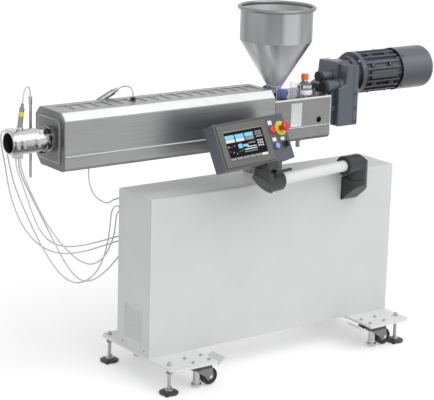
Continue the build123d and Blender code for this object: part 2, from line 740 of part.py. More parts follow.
under_mid = (min(under_x) + max(under_x)) / 2
under_low = LEADS[UNDER_LEADS[0]][0][2]
under_top = AXIS_Z - DIE_R + BAND_T
band += block(under_mid - TERM_W / 2, under_mid + TERM_W / 2, -TERM_D / 2, TERM_D / 2, under_low, under_top)
side_x = [LEADS[name][0][0] for name in SIDE_LEADS]
side_mid = (min(side_x) + max(side_x)) / 2
side_y, side_z = LEADS[SIDE_LEADS[0]][0][1:]
side_low = side_z - TERM_BACK_H / 2
term_x = (side_mid - TERM_W / 2, side_mid + TERM_W / 2)
band += block(*term_x, DIE_R / 2, side_y, side_low, side_low + TERM_BACK_H)
band -= bar_x(DIE_X0, DIE_X1, 0, AXIS_Z, DIE_R)
band -= block(BAND_X - 1, band_x1 + 1, -band_r - LUG_H - 1, -DIE_R + 3, AXIS_Z - 1.5, AXIS_Z + 1.5)
band -= block(PORT_X - BAND_NOTCH, PORT_X + BAND_NOTCH, -BAND_NOTCH, BAND_NOTCH, AXIS_Z, AXIS_Z + 2 * DIE_R)
save("heater_band", band)

# Melt sensor on the die and its conduit rod
lean_at = Pos(PORT_X, 0, AXIS_Z + DIE_R + PORT_H) * Rot(0, SENSOR_LEAN, 0)
sensor_end = SENSOR_L + SENSOR_NECK_L
sensor = spin_z([
    (0, 0), (PORT_R - 3, 0), (PORT_R - 3, 6), (SENSOR_R, 10), (SENSOR_R, SENSOR_L),
    (SENSOR_NECK_R, SENSOR_L + 3), (SENSOR_NECK_R, sensor_end), (0, sensor_end)])
sensor = lean_at * sensor + spin_z([(0, 0), (PORT_R, 0), (PORT_R, 3), (0, 6)], PORT_X, 0).moved(
    Location((0, 0, AXIS_Z + DIE_R + PORT_H)))
sensor -= block(PORT_X - 40, PORT_X + 40, -40, 40, AXIS_Z, AXIS_Z + DIE_R + PORT_H)
save("melt_sensor", sensor)
rod = bar_z(ROD_X, ROD_Y, ROD_Z0, ROD_Z1, ROD_R)
rod += bar_z(ROD_X, ROD_Y, ROD_Z1 - 30, ROD_Z1, ROD_R + 1.5)
clip_z = AXIS_Z - ROD_CLIP_W / 2
rod += block(ROD_X, END_X, ROD_Y - ROD_CLIP_T / 2, ROD_Y + ROD_CLIP_T / 2, clip_z, clip_z + ROD_CLIP_W)
save("conduit_rod", rod - end_plate)

# Sensor on the guard's rear shoulder
tail_at = Pos(TAIL_X, TAIL_Y, GUARD_TOP + TAIL_Z) * Rot(0, TAIL_LEAN, 0)
tail = tail_at * spin_z([
    (0, 0), (TAIL_R, 0), (TAIL_R, TAIL_L), (TAIL_NECK_R, TAIL_L + 4), (TAIL_NECK_R, TAIL_L + TAIL_NECK_L),
    (0, TAIL_L + TAIL_NECK_L)])
lean = degrees(atan2((GUARD_W - GUARD_TOP_W) / 2, GUARD_SHOULDER))
foot_y = (GUARD_W + GUARD_TOP_W) / 4
foot_at = Pos(TAIL_X + TAIL_R, foot_y, GUARD_TOP - GUARD_SHOULDER / 2) * Rot(lean - 90, 0, 0)
tail += foot_at * Pos(0, 0, TAIL_FOOT_H / 2) * Cylinder(TAIL_FOOT_R, TAIL_FOOT_H)
tail -= prism_x(guard_outline(0), GUARD_X0, GUARD_X1)
tail_dir = tail_at.z_axis.direction
tail_tip = tail_at.position + tail_dir * (TAIL_L + TAIL_NECK_L)
save("guard_sensor", tail)

# Feed housing and lid
feed = block(GUARD_X1, FEED_X1, -GUARD_W / 2, GUARD_W / 2, GUARD_Z0, FEED_TOP)
toe_edges = edges_along(feed, Axis.X).sort_by(Axis.Z)[:2]
feed = chamfer(toe_edges, GUARD_TOE)
feed += seam_lip(-1, GUARD_X1, FEED_X1) + seam_lip(1, GUARD_X1, FEED_X1)
window_x = GUARD_X1 + WINDOW_X
window_z = GUARD_Z0 + WINDOW_Z
front_y = -GUARD_W / 2
window_end = (window_x + WINDOW_L, window_z + WINDOW_H)
feed -= block(window_x, window_end[0], front_y - 1, front_y + WINDOW_DEPTH, window_z, window_end[1])
port_z = GUARD_Z0 + PORT_HOLE_Z
feed -= bar_y(GUARD_X1 + PORT_HOLE_X, front_y - 1, front_y + PORT_HOLE_DEPTH, port_z, PORT_HOLE_R)
nozzle_x = GUARD_X1 + NOZZLE_X
feed += hex_z(nozzle_x, NOZZLE_Y, GUARD_Z0 - NOZZLE_NUT, GUARD_Z0 + 1, NOZZLE_AF)
feed += bar_z(nozzle_x, NOZZLE_Y, GUARD_Z0 - NOZZLE_L, GUARD_Z0, NOZZLE_R)
save("feed_housing", feed)
lid = block(GUARD_X1, FEED_X1, -GUARD_W / 2, GUARD_W / 2, FEED_TOP, LID_TOP)
lid = chamfer(lid.faces().sort_by(Axis.Z)[-1].edges(), 2)
lid -= bar_z(HOP_X, 0, FEED_TOP - 1, LID_TOP + 1, HOPPER_OUT_R - HOPPER_SHEET)
lid += bar_z(GUARD_X1 + STUD_X, STUD_Y, LID_TOP - 1, LID_TOP + STUD_H, STUD_R)
save("feed_lid", lid)

# Hopper
z_cone = LID_TOP + HOPPER_PIPE
z_cyl = z_cone + HOPPER_CONE
z_rim = z_cyl + HOPPER_CYL
flare = atan2(HOPPER_R - HOPPER_OUT_R, HOPPER_CONE)
shift_low = HOPPER_SHEET * tan(flare / 2)
inner_r = HOPPER_R - HOPPER_SHEET
inner_out = HOPPER_OUT_R - HOPPER_SHEET
hopper = spin_z([
    (inner_out, LID_TOP), (HOPPER_OUT_R, LID_TOP), (HOPPER_OUT_R, z_cone), (HOPPER_R, z_cyl),
    (HOPPER_R, z_rim), (inner_r, z_rim), (inner_r, z_cyl + shift_low), (inner_out, z_cone + shift_low)],
    HOP_X, 0)
rim_ring = Pos(HOP_X, 0, z_rim) * Torus(HOPPER_R + RIM_R - HOPPER_SHEET, RIM_R)
hopper += rim_ring
save("hopper", hopper)
collar_in = HOPPER_OUT_R + SLIP_GAP
collar = bar_z(HOP_X, 0, LID_TOP, LID_TOP + COLLAR_H, COLLAR_R)
for side in (-KNOB_Y, KNOB_Y):
    knob = spin_z([
        (0, 0), (KNOB_R * 0.7, 0), (KNOB_R, KNOB_H * 0.4), (KNOB_R, KNOB_H * 0.7),
        (KNOB_R * 0.8, KNOB_H * 0.9), (KNOB_R * 0.4, KNOB_H), (0, KNOB_H)])
    for number in range(KNOB_LOBES):
        flute = bar_z(KNOB_R + KNOB_FLUTE / 2, 0, KNOB_H * 0.2, KNOB_H + 1, KNOB_FLUTE)
        knob -= Rot(0, 0, 360 / KNOB_LOBES * (number + 0.5)) * flute
    collar += Pos(HOP_X + KNOB_X, side, LID_TOP) * knob
wide = (KNOB_H - HOPPER_PIPE + 1) * tan(flare)
collar -= spin_z([
    (0, LID_TOP - 1), (collar_in, LID_TOP - 1), (collar_in, z_cone - SLIP_GAP),
    (collar_in + wide, LID_TOP + KNOB_H + 1), (0, LID_TOP + KNOB_H + 1)], HOP_X, 0)
save("throat_collar", collar)

# Clear shield, sample bottle and cap
shield_x0 = GUARD_X1 + SHIELD_X0
shield_x1 = shield_x0 + SHIELD_L
shield = block(shield_x0, shield_x1, -SHIELD_Y, -SHIELD_Y + SHIELD_D, LID_TOP, LID_TOP + SHIELD_H)
shield_top = LID_TOP + SHIELD_H
shield -= block(
    shield_x0 + SHIELD_T, shield_x1 - SHIELD_T, -SHIELD_Y + SHIELD_T, SHIELD_Y, LID_TOP - 1, shield_top + 1)
save("clear_shield", shield)
bottle_x = GUARD_X1 + BOTTLE_X
body_top = LID_TOP + BOTTLE_BODY
neck_z = body_top + BOTTLE_SHOULDER
neck_top = neck_z + BOTTLE_NECK
bottle = spin_z([
    (0, LID_TOP), (BOTTLE_R - 4, LID_TOP), (BOTTLE_R, LID_TOP + 4), (BOTTLE_R, body_top - 4),
    (BOTTLE_R - 5, body_top), (BOTTLE_NECK_R, neck_z), (BOTTLE_NECK_R, neck_top), (0, neck_top)],
    bottle_x, BOTTLE_Y)
save("sample_bottle", bottle)
cap = bar_z(bottle_x, BOTTLE_Y, neck_top, neck_top + CAP_H, CAP_R)
cap = chamfer(cap.edges().filter_by(GeomType.CIRCLE).sort_by(Axis.Z)[-1], 2)
save("bottle_cap", cap)

# Gearbox
half_w = GEAR_W / 2
gear_mid = GEAR_Z0 + GEAR_DROP + GEAR_STEP
gear_top = GEAR_Z0 + GEAR_H
slab_x = GEAR_X1 - GEAR_SLAB
gearbox = prism_y([
    (GEAR_X0, GEAR_Z0), (GEAR_X1, GEAR_Z0), (GEAR_X1, gear_top - GEAR_CREST),
    (GEAR_X1 - GEAR_CREST, gear_top), (slab_x + GEAR_RAKE, gear_top), (slab_x, gear_mid + GEAR_RAMP),
    (GEAR_X0, gear_mid)], -half_w, half_w)
gearbox = fillet(edges_along(gearbox, Axis.Y), GEAR_EDGE)
flanks = gearbox.faces().filter_by(Axis.Y).sort_by(Axis.Y)
gearbox = chamfer(flanks[0].edges() + flanks[-1].edges(), GEAR_EDGE * 0.6)
seam_x = GEAR_X1 - GEAR_SEAM
tall = gear_top + GEAR_W
seam_end = seam_x + GEAR_SEAM_W
bed = half_w - GEAR_SEAM_W
seam = block(seam_x, seam_end, -GEAR_W, GEAR_W, GEAR_Z0 - 1, tall)
seam -= block(seam_x, seam_end, -bed, bed, GEAR_Z0 + GEAR_SEAM_W, tall)
gearbox -= seam
nose_low = gear_mid - GEAR_EDGE
nose_top = gear_top + NOSE_UP
nose = prism_x([
    (-NOSE_W / 2, nose_low), (NOSE_W / 2, nose_low), (NOSE_W / 2 - NOSE_LEAN, nose_top),
    (-NOSE_W / 2 + NOSE_LEAN, nose_top)], GEAR_X0 + NOSE_IN, GEAR_X1)
nose = fillet(nose.edges().filter_by(Axis.X).sort_by(Axis.Z)[2:], GEAR_TOP_EDGE)
nose = chamfer(nose.faces().sort_by(Axis.X)[0].edges(), GEAR_EDGE)
gearbox += nose
gearbox += bar_x(FEED_X1, GEAR_X0 + 1, 0, AXIS_Z, NECK_R)
for side in (-1, 1):
    rib_y = side * NECK_RIB_Y
    rib_x = GEAR_X0 - NECK_RIB_L
    low_y, high_y = sorted((rib_y, rib_y - side * NECK_RIB))
    gearbox += prism_y([
        (rib_x, GEAR_Z0 + NECK_RIB_L), (GEAR_X0 + 1, GEAR_Z0), (GEAR_X0 + 1, gear_mid),
        (rib_x, gear_mid - NECK_RIB_L)], low_y, high_y)
    plug = bar_y(GEAR_X0 - NECK_RIB_L / 2, *sorted((rib_y, rib_y + side * PLUG_L)), AXIS_Z, PLUG_R)
    gearbox += chamfer(plug.edges().filter_by(GeomType.CIRCLE).sort_by(Axis.Y)[0 if side < 0 else -1], 3)
for y, z, r, length in ((BOSS_Y, BOSS_Z, BOSS_R, BOSS_L), (BOSS2_Y, BOSS2_Z, BOSS2_R, BOSS2_L)):
    gearbox += bar_x(GEAR_X0 - length, GEAR_X0 + BOSS_SINK, y, AXIS_Z + z, r)
    gearbox += bar_x(GEAR_X0 + NOSE_IN - BOSS_RIM_L, GEAR_X0 + BOSS_SINK, y, AXIS_Z + z, r + BOSS_RIM)
save("gearbox", gearbox)
puff = bar_x(GEAR_X0 - BOSS_L - BUFFER_T, GEAR_X0 - BOSS_L, BOSS_Y, AXIS_Z + BOSS_Z, BUFFER_R)
puff2 = bar_x(GEAR_X0 - BOSS2_L - BUFFER_T, GEAR_X0 - BOSS2_L, BOSS2_Y, AXIS_Z + BOSS2_Z, BUFFER2_R)
puck = bar_z(GUARD_X1 + STUD_X, STUD_Y, LID_TOP + STUD_H, LID_TOP + STUD_H + PUCK_H, PUCK_R)
save("rubber_buffers", puff, puff2, puck)

# Motor
motor = bar_x(GEAR_X1, GEAR_X1 + ADAPTER_L, 0, MOTOR_Z, ADAPTER_R)
motor += bar_x(GEAR_X1 + ADAPTER_L, MOTOR_X, 0, MOTOR_Z, MFLANGE_R)
motor += bar_x(MOTOR_X, MOTOR_X + FIN_L, 0, MOTOR_Z, CORE_R)
fin_x1 = COWL_X0 - COWL_LAP
fin = block(MOTOR_X, fin_x1, -FIN_T / 2, FIN_T / 2, CORE_R - FIN_ROOT, FIN_R)
fin = chamfer(edges_along(fin, Axis.Y).sort_by(Axis.Z)[-2:], (FIN_R - CORE_R) / 2)
pad_x = MOTOR_X + PAD_X
pad = block(pad_x, pad_x + PAD_L, -PAD_W / 2, PAD_W / 2, CORE_R - FIN_ROOT, FIN_R - PAD_DROP)
for turn in (90, 180):
    motor += Pos(0, 0, MOTOR_Z) * Rot(turn, 0, 0) * pad
for turn in (45, 135, 225, 315):
    for x in (MOTOR_X, fin_x1 - EAR_L):
        ear = bar_x(x, x + EAR_L, 0, FIN_R - EAR_IN - EAR_R / 2, EAR_R / 2)
        motor += Pos(0, 0, MOTOR_Z) * Rot(turn, 0, 0) * ear
for number in range(FIN_N):
    motor += Pos(0, 0, MOTOR_Z) * Rot(360 / FIN_N * number, 0, 0) * fin
save("motor_body", motor)
cowl = spin_x([
    (COWL_X0, COWL_R - COWL_SHEET), (COWL_X0, COWL_R), (COWL_X1 - COWL_EDGE, COWL_R),
    (COWL_X1 - COWL_EDGE * 0.3, COWL_R - COWL_EDGE * 0.3), (COWL_X1, COWL_R - COWL_EDGE), (COWL_X1, 0),
    (COWL_X1 - COWL_SHEET, 0), (COWL_X1 - COWL_SHEET, COWL_R - COWL_EDGE),
    (COWL_X1 - COWL_EDGE, COWL_R - COWL_SHEET)], 0, MOTOR_Z)
slit = block(COWL_X1 - 3 * COWL_SHEET, COWL_X1 + 1, -GRILLE_W / 2, GRILLE_W / 2, GRILLE_R0, GRILLE_R1)
for number in range(GRILLE_N):
    cowl -= Pos(0, 0, MOTOR_Z) * Rot(360 / GRILLE_N * number, 0, 0) * slit
for turn in (45, 135, 225, 315):
    bridge = block(COWL_X0, COWL_X0 + COWL_LAP, -6, 6, CORE_R, COWL_R - COWL_SHEET + 1)
    bridge -= bar_x(COWL_X0 - 1, COWL_X0 + COWL_LAP + 1, 0, 0, CORE_R)
    cowl += Pos(0, 0, MOTOR_Z) * Rot(turn, 0, 0) * bridge
save("fan_cowl", cowl)
tbox_x = MOTOR_X + TBOX_X
tbox_z = MOTOR_Z - TBOX_H / 2
tbox = block(tbox_x, tbox_x + TBOX_L, CORE_R - 4, FIN_R + TBOX_D, tbox_z, tbox_z + TBOX_H)
tbox = fillet(tbox.faces().sort_by(Axis.Y)[-1].edges(), TBOX_EDGE)
save("terminal_box", tbox - motor)

# Wall elbow on the cabinet front
wall = block(PIVOT_X - ELBOW_R, PIVOT_X + ELBOW_R, PIVOT_Y, CAB_FRONT, WALL_Z0, JOINT_Z)
wall += bar_z(PIVOT_X, PIVOT_Y, WALL_Z0, JOINT_Z, ELBOW_R)
toe = Pos(PIVOT_X, CAB_FRONT - WALL_TOE, WALL_Z0) * Rot(-WALL_SLOPE, 0, 0)
wall -= toe * block(-CAB_D, CAB_D, -CAB_D, CAB_D, -CAB_D, 0)
wall_w = ELBOW_R + WALL_FLANGE_RIM
wall += block(
    PIVOT_X - wall_w, PIVOT_X + wall_w, CAB_FRONT - WALL_FLANGE, CAB_FRONT,
    WALL_Z0 - WALL_FLANGE_RIM, JOINT_Z)
wall += bar_z(PIVOT_X, PIVOT_Y, JOINT_Z - 2, JOINT_Z + SPIGOT_H, SPIGOT_R)
save("wall_elbow", wall)

# Swing arm
foot = bar_z(0, 0, JOINT_Z + FACE_GAP, TUBE_Z + 2 * ELBOW_R, ELBOW_R)
foot = chamfer(foot.edges().filter_by(GeomType.CIRCLE).sort_by(Axis.Z)[0], ELBOW_BEVEL)
limb = bar_x(-ELBOW_LEG, 2 * ELBOW_R, 0, TUBE_Z, ELBOW_R)
bulk = 4 * ELBOW_LEG
mitre = Pos(0, 0, TUBE_Z) * Rot(0, -45, 0)
elbow = foot & mitre * block(-bulk, bulk, -bulk, bulk, -bulk, 0)
elbow += limb & mitre * block(-bulk, bulk, -bulk, bulk, 0, bulk)
elbow = elbow & Pos(0, 0, TUBE_Z) * Rot(0, 225, 0) * block(-bulk, bulk, -bulk, bulk, -ELBOW_CUT, bulk)
elbow -= bar_z(0, 0, JOINT_Z, JOINT_Z + SPIGOT_H + 1, SPIGOT_R + RUN_GAP)
elbow -= bar_x(-ELBOW_LEG - 1, -ELBOW_LEG + SOCKET, 0, TUBE_Z, TUBE_R + SLIP_GAP)
save("arm_elbow", ARM_AT * elbow)
tube = bar_x(-ARM_REACH + ELBOW_LEG - SOCKET, -ELBOW_LEG + SOCKET, 0, TUBE_Z, TUBE_R)
save("arm_tube", ARM_AT * tube)
tip = bar_z(0, 0, TUBE_Z - 60, ELBOW_TOP, ELBOW_R)
tip += bar_x(-60, ELBOW_LEG, 0, TUBE_Z, ELBOW_R)
keep = Pos(0, 0, TUBE_Z) * Rot(0, 45, 0) * block(-bulk, bulk, -bulk, bulk, -ELBOW_FACET, bulk)
tip = tip & keep
tip -= bar_x(ELBOW_LEG - SOCKET, ELBOW_LEG + 1, 0, TUBE_Z, TUBE_R + SLIP_GAP)
tip += bar_z(0, 0, ELBOW_TOP - 2, ELBOW_TOP + 0.5 * RING_H, SPIGOT_R)
save("end_elbow", END_AT * tip)
lever_z = ELBOW_TOP - LEVER_DROP
lever = bar_y(LEVER_U, -ELBOW_R - LEVER_HUB_L, 0, lever_z, LEVER_HUB_R)
lever += bar_x(LEVER_U, LEVER_U + LEVER_L, -ELBOW_R - LEVER_HUB_L / 2, lever_z, LEVER_R)
lever += Pos(LEVER_U + LEVER_L, -ELBOW_R - LEVER_HUB_L / 2, lever_z) * Sphere(LEVER_R)
save("clamp_lever", END_AT * (lever - tip))

# Operator panel
ring = bar_z(0, 0, ELBOW_TOP + FACE_GAP, RING_TOP, RING_R)
wedge_z = RING_TOP - RING_H + 1
wedge = block(-WEDGE_W / 2, WEDGE_W / 2, PANEL_B - PANEL_D, RING_R - 6, wedge_z, RING_TOP + PANEL_D)
tilted = Pos(PANEL_U, PANEL_B, PANEL_Z) * Rot(-PANEL_TILT, 0, 0)
above = tilted * block(-PANEL_W, PANEL_W, -PANEL_W, PANEL_W, -PANEL_H / 2, PANEL_W)
front_wall = tilted * block(-PANEL_W, PANEL_W, -PANEL_W, PANEL_EDGE, -PANEL_W, PANEL_W)
coupling = ring + (wedge - above - front_wall)
coupling -= bar_z(0, 0, ELBOW_TOP, ELBOW_TOP + 0.5 * RING_H + FACE_GAP, SPIGOT_R + RUN_GAP)
save("panel_coupling", END_AT * coupling)
case = block(-PANEL_W / 2, PANEL_W / 2, 0, PANEL_D, -PANEL_H / 2, PANEL_H / 2)
case = fillet(edges_along(case, Axis.Y), PANEL_EDGE)
case -= bar_y(COL_B, -1, WELL, ROW_A, STOP_STEM_R + RUN_GAP)
for x in (COL_A, COL_B):
    case += bar_y(x, -BUTTON_RING_T, 1, ROW_B, BUTTON_RING_R)
case -= bar_y(COL_A, -BUTTON_RING_T - 1, WELL, ROW_B, BUTTON_R + RUN_GAP)
save("panel_case", PANEL_AT * case)
bezel = block(BEZEL_U - BEZEL_W / 2, BEZEL_U + BEZEL_W / 2, -BEZEL_T, 0, -BEZEL_H / 2, BEZEL_H / 2)
screen_u = (SCREEN_U - SCREEN_W / 2, SCREEN_U + SCREEN_W / 2)
screen_v = (SCREEN_V - SCREEN_H / 2, SCREEN_V + SCREEN_H / 2)
save("screen_bezel", PANEL_AT * (bezel - block(*screen_u, -BEZEL_T - 1, 1, *screen_v)))
screen = block(*screen_u, -BEZEL_T + SCREEN_SINK, 0, *screen_v)
save("touch_screen", PANEL_AT * screen)
lamp = bar_y(COL_A, -LAMP_H, 0, ROW_A, LAMP_R)
lamp = fillet(lamp.edges().filter_by(GeomType.CIRCLE).sort_by(Axis.Y)[0], 5)
save("red_lamp", PANEL_AT * lamp)
stop_ring = bar_y(COL_B, -STOP_RING_T, 0, ROW_A, STOP_RING_R)
stop_ring -= bar_y(COL_B, -STOP_RING_T - 1, 1, ROW_A, STOP_STEM_R + RUN_GAP)
save("stop_ring", PANEL_AT * stop_ring)
stop_y = -STOP_RING_T - STOP_GAP
stem_end = WELL - STOP_TRAVEL - 1
stop_end = stop_y - STOP_HEAD_H
stop = revolve(make_face(Polyline(
    (0, stem_end), (STOP_STEM_R, stem_end), (STOP_STEM_R, stop_y + 3), (STOP_HEAD_R - 3, stop_y),
    (STOP_HEAD_R, stop_y - 3), (STOP_HEAD_R, stop_end + 7), (STOP_HEAD_R - 4, stop_end + 2),
    (STOP_HEAD_R - 11, stop_end), (0, stop_end), close=True)), Axis.Y)
save("stop_button", PANEL_AT * Pos(COL_B, 0, ROW_A) * stop)
button = bar_y(COL_A, -BUTTON_RING_T - BUTTON_UP, WELL - BUTTON_TRAVEL - 1, ROW_B, BUTTON_R)
save("blue_button", PANEL_AT * button)
dial_y = -BUTTON_RING_T - FACE_GAP
dial = bar_y(0, dial_y - KNOB_BASE_H, dial_y, 0, KNOB_BASE_R)
dial += block(-KNOB_BAR_W / 2, KNOB_BAR_W / 2, dial_y - KNOB_BASE_H - KNOB_BAR_H, dial_y - KNOB_BASE_H,
              -KNOB_BAR_L / 2, KNOB_BAR_L / 2)
save("selector_knob", PANEL_AT * Pos(COL_B, 0, ROW_B) * dial)

# Cable glands
glands = []
for name in BACK_LEADS:
    x, y, z = LEADS[name][-1]
    gland = extrude(Plane(origin=(x, CAB_BACK, z), x_dir=(1, 0, 0), z_dir=(0, 1, 0)) * RegularPolygon(
        PORT_NUT_AF / 2, 6, major_radius=False), PORT_NUT_L)
    glands.append(gland + bar_y(x, CAB_BACK, y, z, PORT_CONE_R))
x, y, z = LEADS["tray_lead"][0]
glands.append(hex_z(x, y, z + 4, GUARD_Z0, PORT_NUT_AF) + bar_z(x, y, z, GUARD_Z0, PORT_CONE_R))
x, y, z = GUARD_LOOP[-1]
glands.append(hex_z(x, y, GUARD_TOP, z - 5, 2 * GLAND_R) + bar_z(x, y, GUARD_TOP, z, PORT_CONE_R))
save("cable_glands", *glands)


def lead(name, points):
    """Write a round lead through hand-chosen points and print its bends."""
    spots = [Vector(*p) for p in points]
    radii = []
    for before, here, after in zip(spots, spots[1:], spots[2:]):
        first = here - before
        second = after - here
        half = radians(first.get_angle(second)) / 2
        radii.append(CORD_EASE * min(first.length, second.length) / tan(half))
    path = FilletPolyline(*spots, radius=radii)
    start = Plane(origin=path @ 0, z_dir=path % 0)
    body = sweep(start * Circle(CORD_R), path=path)
    ratio = body.volume / (pi * CORD_R ** 2 * path.length)
    print(name, "length", round(path.length), "least radius", round(min(radii)), "volume", round(ratio, 4))
    save(name, body)


for name, points in LEADS.items():
    lead(name, points)
melt_dir = lean_at.z_axis.direction
melt_tip = lean_at.position + melt_dir * (SENSOR_L + SENSOR_NECK_L)
melt_out = melt_tip + melt_dir * LOOP_OUT
lead("melt_lead", [tuple(melt_tip), tuple(melt_out), *MELT_LOOP, (ROD_X, ROD_Y, ROD_Z1)])
lead("guard_lead", [tuple(tail_tip), tuple(tail_tip + tail_dir * LOOP_OUT), *GUARD_LOOP])
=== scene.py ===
"""Dressed scene of a laboratory plastics extruder on a cabinet with castors.

Metres, +Z up. X runs along the barrel from the die to the drive, Y to the back.
Sizes give Y from the barrel's mid-plane, which lies MID_Y behind the frame's origin.
"""
from __future__ import annotations

import json
import logging
import math
from dataclasses import dataclass
from enum import Enum
from typing import Any, Iterable, Optional, Union

import bmesh
import bpy
from mathutils import Matrix, Vector

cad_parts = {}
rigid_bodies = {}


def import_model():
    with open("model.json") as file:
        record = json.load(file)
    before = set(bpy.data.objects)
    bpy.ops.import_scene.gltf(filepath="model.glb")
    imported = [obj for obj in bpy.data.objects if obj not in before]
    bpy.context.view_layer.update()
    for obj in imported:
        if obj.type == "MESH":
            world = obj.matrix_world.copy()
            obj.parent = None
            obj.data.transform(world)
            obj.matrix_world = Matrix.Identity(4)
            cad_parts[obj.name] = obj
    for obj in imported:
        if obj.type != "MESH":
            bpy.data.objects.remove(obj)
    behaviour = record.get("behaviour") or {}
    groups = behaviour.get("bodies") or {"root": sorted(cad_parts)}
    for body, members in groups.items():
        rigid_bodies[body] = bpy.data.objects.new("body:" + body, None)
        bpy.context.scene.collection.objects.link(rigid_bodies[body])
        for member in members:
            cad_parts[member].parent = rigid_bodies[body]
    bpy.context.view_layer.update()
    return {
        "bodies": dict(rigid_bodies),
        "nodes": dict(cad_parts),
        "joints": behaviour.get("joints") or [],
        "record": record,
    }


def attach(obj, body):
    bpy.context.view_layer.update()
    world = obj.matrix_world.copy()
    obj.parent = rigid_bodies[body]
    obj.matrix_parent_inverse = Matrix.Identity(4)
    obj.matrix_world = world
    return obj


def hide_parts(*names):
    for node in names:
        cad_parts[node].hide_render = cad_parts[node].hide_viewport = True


LOG = logging.getLogger("extruder")
Span = tuple[float, float]
Point = tuple[float, float, float]
Colour = tuple[float, float, float]
Quad = tuple[float, float, float, float]
Profile = tuple[Span, ...]
Spots = tuple[Span, ...]
Seat = tuple[Point, Point]
Box = tuple[Point, Point]
MID_Y = 0.0459
DIE_Z = 1.062
MOTOR_Z = 1.192
COWL_R = 0.0935
UP = (0, 0, 1)
SIDES = (-1, 1)
HEX = 6
ROUND = 24


class Body(str, Enum):
    """Bodies of the frame that pieces ride on."""

    MACHINE = "machine"
    PANEL = "operator_panel"


class Grain(Enum):
    """Direction of the fine lines on brushed or turned metal."""

    ALONG_X = (3.0, 500.0, 500.0)
    ROUND_X = (900.0, 6.0, 6.0)
    UPRIGHT = (600.0, 600.0, 4.0)


def spot(x: float, y: float, z: float) -> Point:
    """Return a point that is given from the mid-plane."""
    return (x, MID_Y + y, z)


def frame_at(x: float = 0.0, y: float = 0.0, z: float = 0.0, turn: float = 0.0, axis: str = "X") -> Matrix:
    """Return a frame at a point from the mid-plane, turned by degrees about one axis."""
    return Matrix.Translation(spot(x, y, z)) @ Matrix.Rotation(math.radians(turn), 4, axis)


def tint(colour: Colour, factor: float) -> Colour:
    """Return a colour made lighter or darker."""
    return tuple(min(1.0, c * factor) for c in colour)


def stand(name: str, data: bpy.types.ID) -> bpy.types.Object:
    """Return a new object, linked to the scene."""
    made = bpy.data.objects.new(name, data)
    bpy.context.scene.collection.objects.link(made)
    return made


class Sock:
    """A node's output that takes part in Python arithmetic."""

    def __init__(self, graph: "Graph", socket: bpy.types.NodeSocket) -> None:
        """Keep the graph that owns the socket."""
        self.graph = graph
        self.socket = socket

    def _join(self, operation: str, *values: Any) -> "Sock":
        """Add a Math node on the given values."""
        return self.graph.node("ShaderNodeMath", {"operation": operation}, dict(enumerate(values)))

    def __add__(self, other: Any) -> "Sock":
        """Return self + other."""
        return self._join("ADD", self, other)

    def __sub__(self, other: Any) -> "Sock":
        """Return self - other."""
        return self._join("SUBTRACT", self, other)

    def __mul__(self, other: Any) -> "Sock":
        """Return self * other."""
        return self._join("MULTIPLY", self, other)

    def __truediv__(self, other: Any) -> "Sock":
        """Return self / other."""
        return self._join("DIVIDE", self, other)

    def __rsub__(self, other: Any) -> "Sock":
        """Return other - self."""
        return self._join("SUBTRACT", other, self)

    def __gt__(self, other: Any) -> "Sock":
        """Return 1 where self is more than other."""
        return self._join("GREATER_THAN", self, other)

    def __lt__(self, other: Any) -> "Sock":
        """Return 1 where self is less than other."""
        return self._join("LESS_THAN", self, other)

    def __abs__(self) -> "Sock":
        """Return the value without its sign."""
        return self._join("ABSOLUTE", self)

    def most(self, other: Any) -> "Sock":
        """Return the larger of two values."""
        return self._join("MAXIMUM", self, other)

    def clamped(self) -> "Sock":
        """Return the value kept between 0 and 1."""
        return self._join("MINIMUM", self.most(0.0), 1.0)

    def around(self, spread: float, level: float = 0.0) -> "Sock":
        """Return a noise value spread about a level."""
        return (self - 0.5) * spread + level

    def reach(self, other: "Sock") -> "Sock":
        """Return the long side of the right triangle on two values."""
        return self._join("SQRT", self * self + other * other)

    def twin(self, out: str) -> "Sock":
        """Return another output of the same node."""
        return Sock(self.graph, self.socket.node.outputs[out])

    __radd__ = __add__
    __rmul__ = __mul__


class Graph:
    """Builder of one node tree."""

    def __init__(self, tree: bpy.types.NodeTree) -> None:
        """Start on an emptied tree."""
        self.tree = tree
        tree.nodes.clear()

    def feed(self, node: bpy.types.Node, inputs: dict[Any, Any]) -> None:
        """Set or link sockets of a node.

        Args:
            node: the node to feed.
            inputs: value or Sock for each socket name or number.
        """
        for key, value in inputs.items():
            if isinstance(value, Sock):
                self.tree.links.new(value.socket, node.inputs[key])
            elif isinstance(value, tuple) and len(value) == 3 and node.inputs[key].type == "RGBA":
                node.inputs[key].default_value = (*value, 1.0)
            else:
                node.inputs[key].default_value = value

    def node(self, kind: str, settings: Optional[dict[str, Any]] = None,
             inputs: Optional[dict[Any, Any]] = None, out: Union[int, str] = 0) -> Sock:
        """Add a node.

        Args:
            kind: Blender's node type.
            settings: properties set before the sockets.
            inputs: value or Sock for each socket.
            out: output to hand back.

        Returns:
            The chosen output.
        """
        made = self.tree.nodes.new(kind)
        for key, value in (settings or {}).items():
            setattr(made, key, value)
        self.feed(made, inputs or {})
        return Sock(self, made.outputs[out])

    def seen(self) -> Sock:
        """Return 1 on rays from the camera, straight or by way of gloss or glass."""
        path = self.node("ShaderNodeLightPath", out="Is Camera Ray")
        return path.most(path.twin("Is Glossy Ray")).most(path.twin("Is Transmission Ray"))


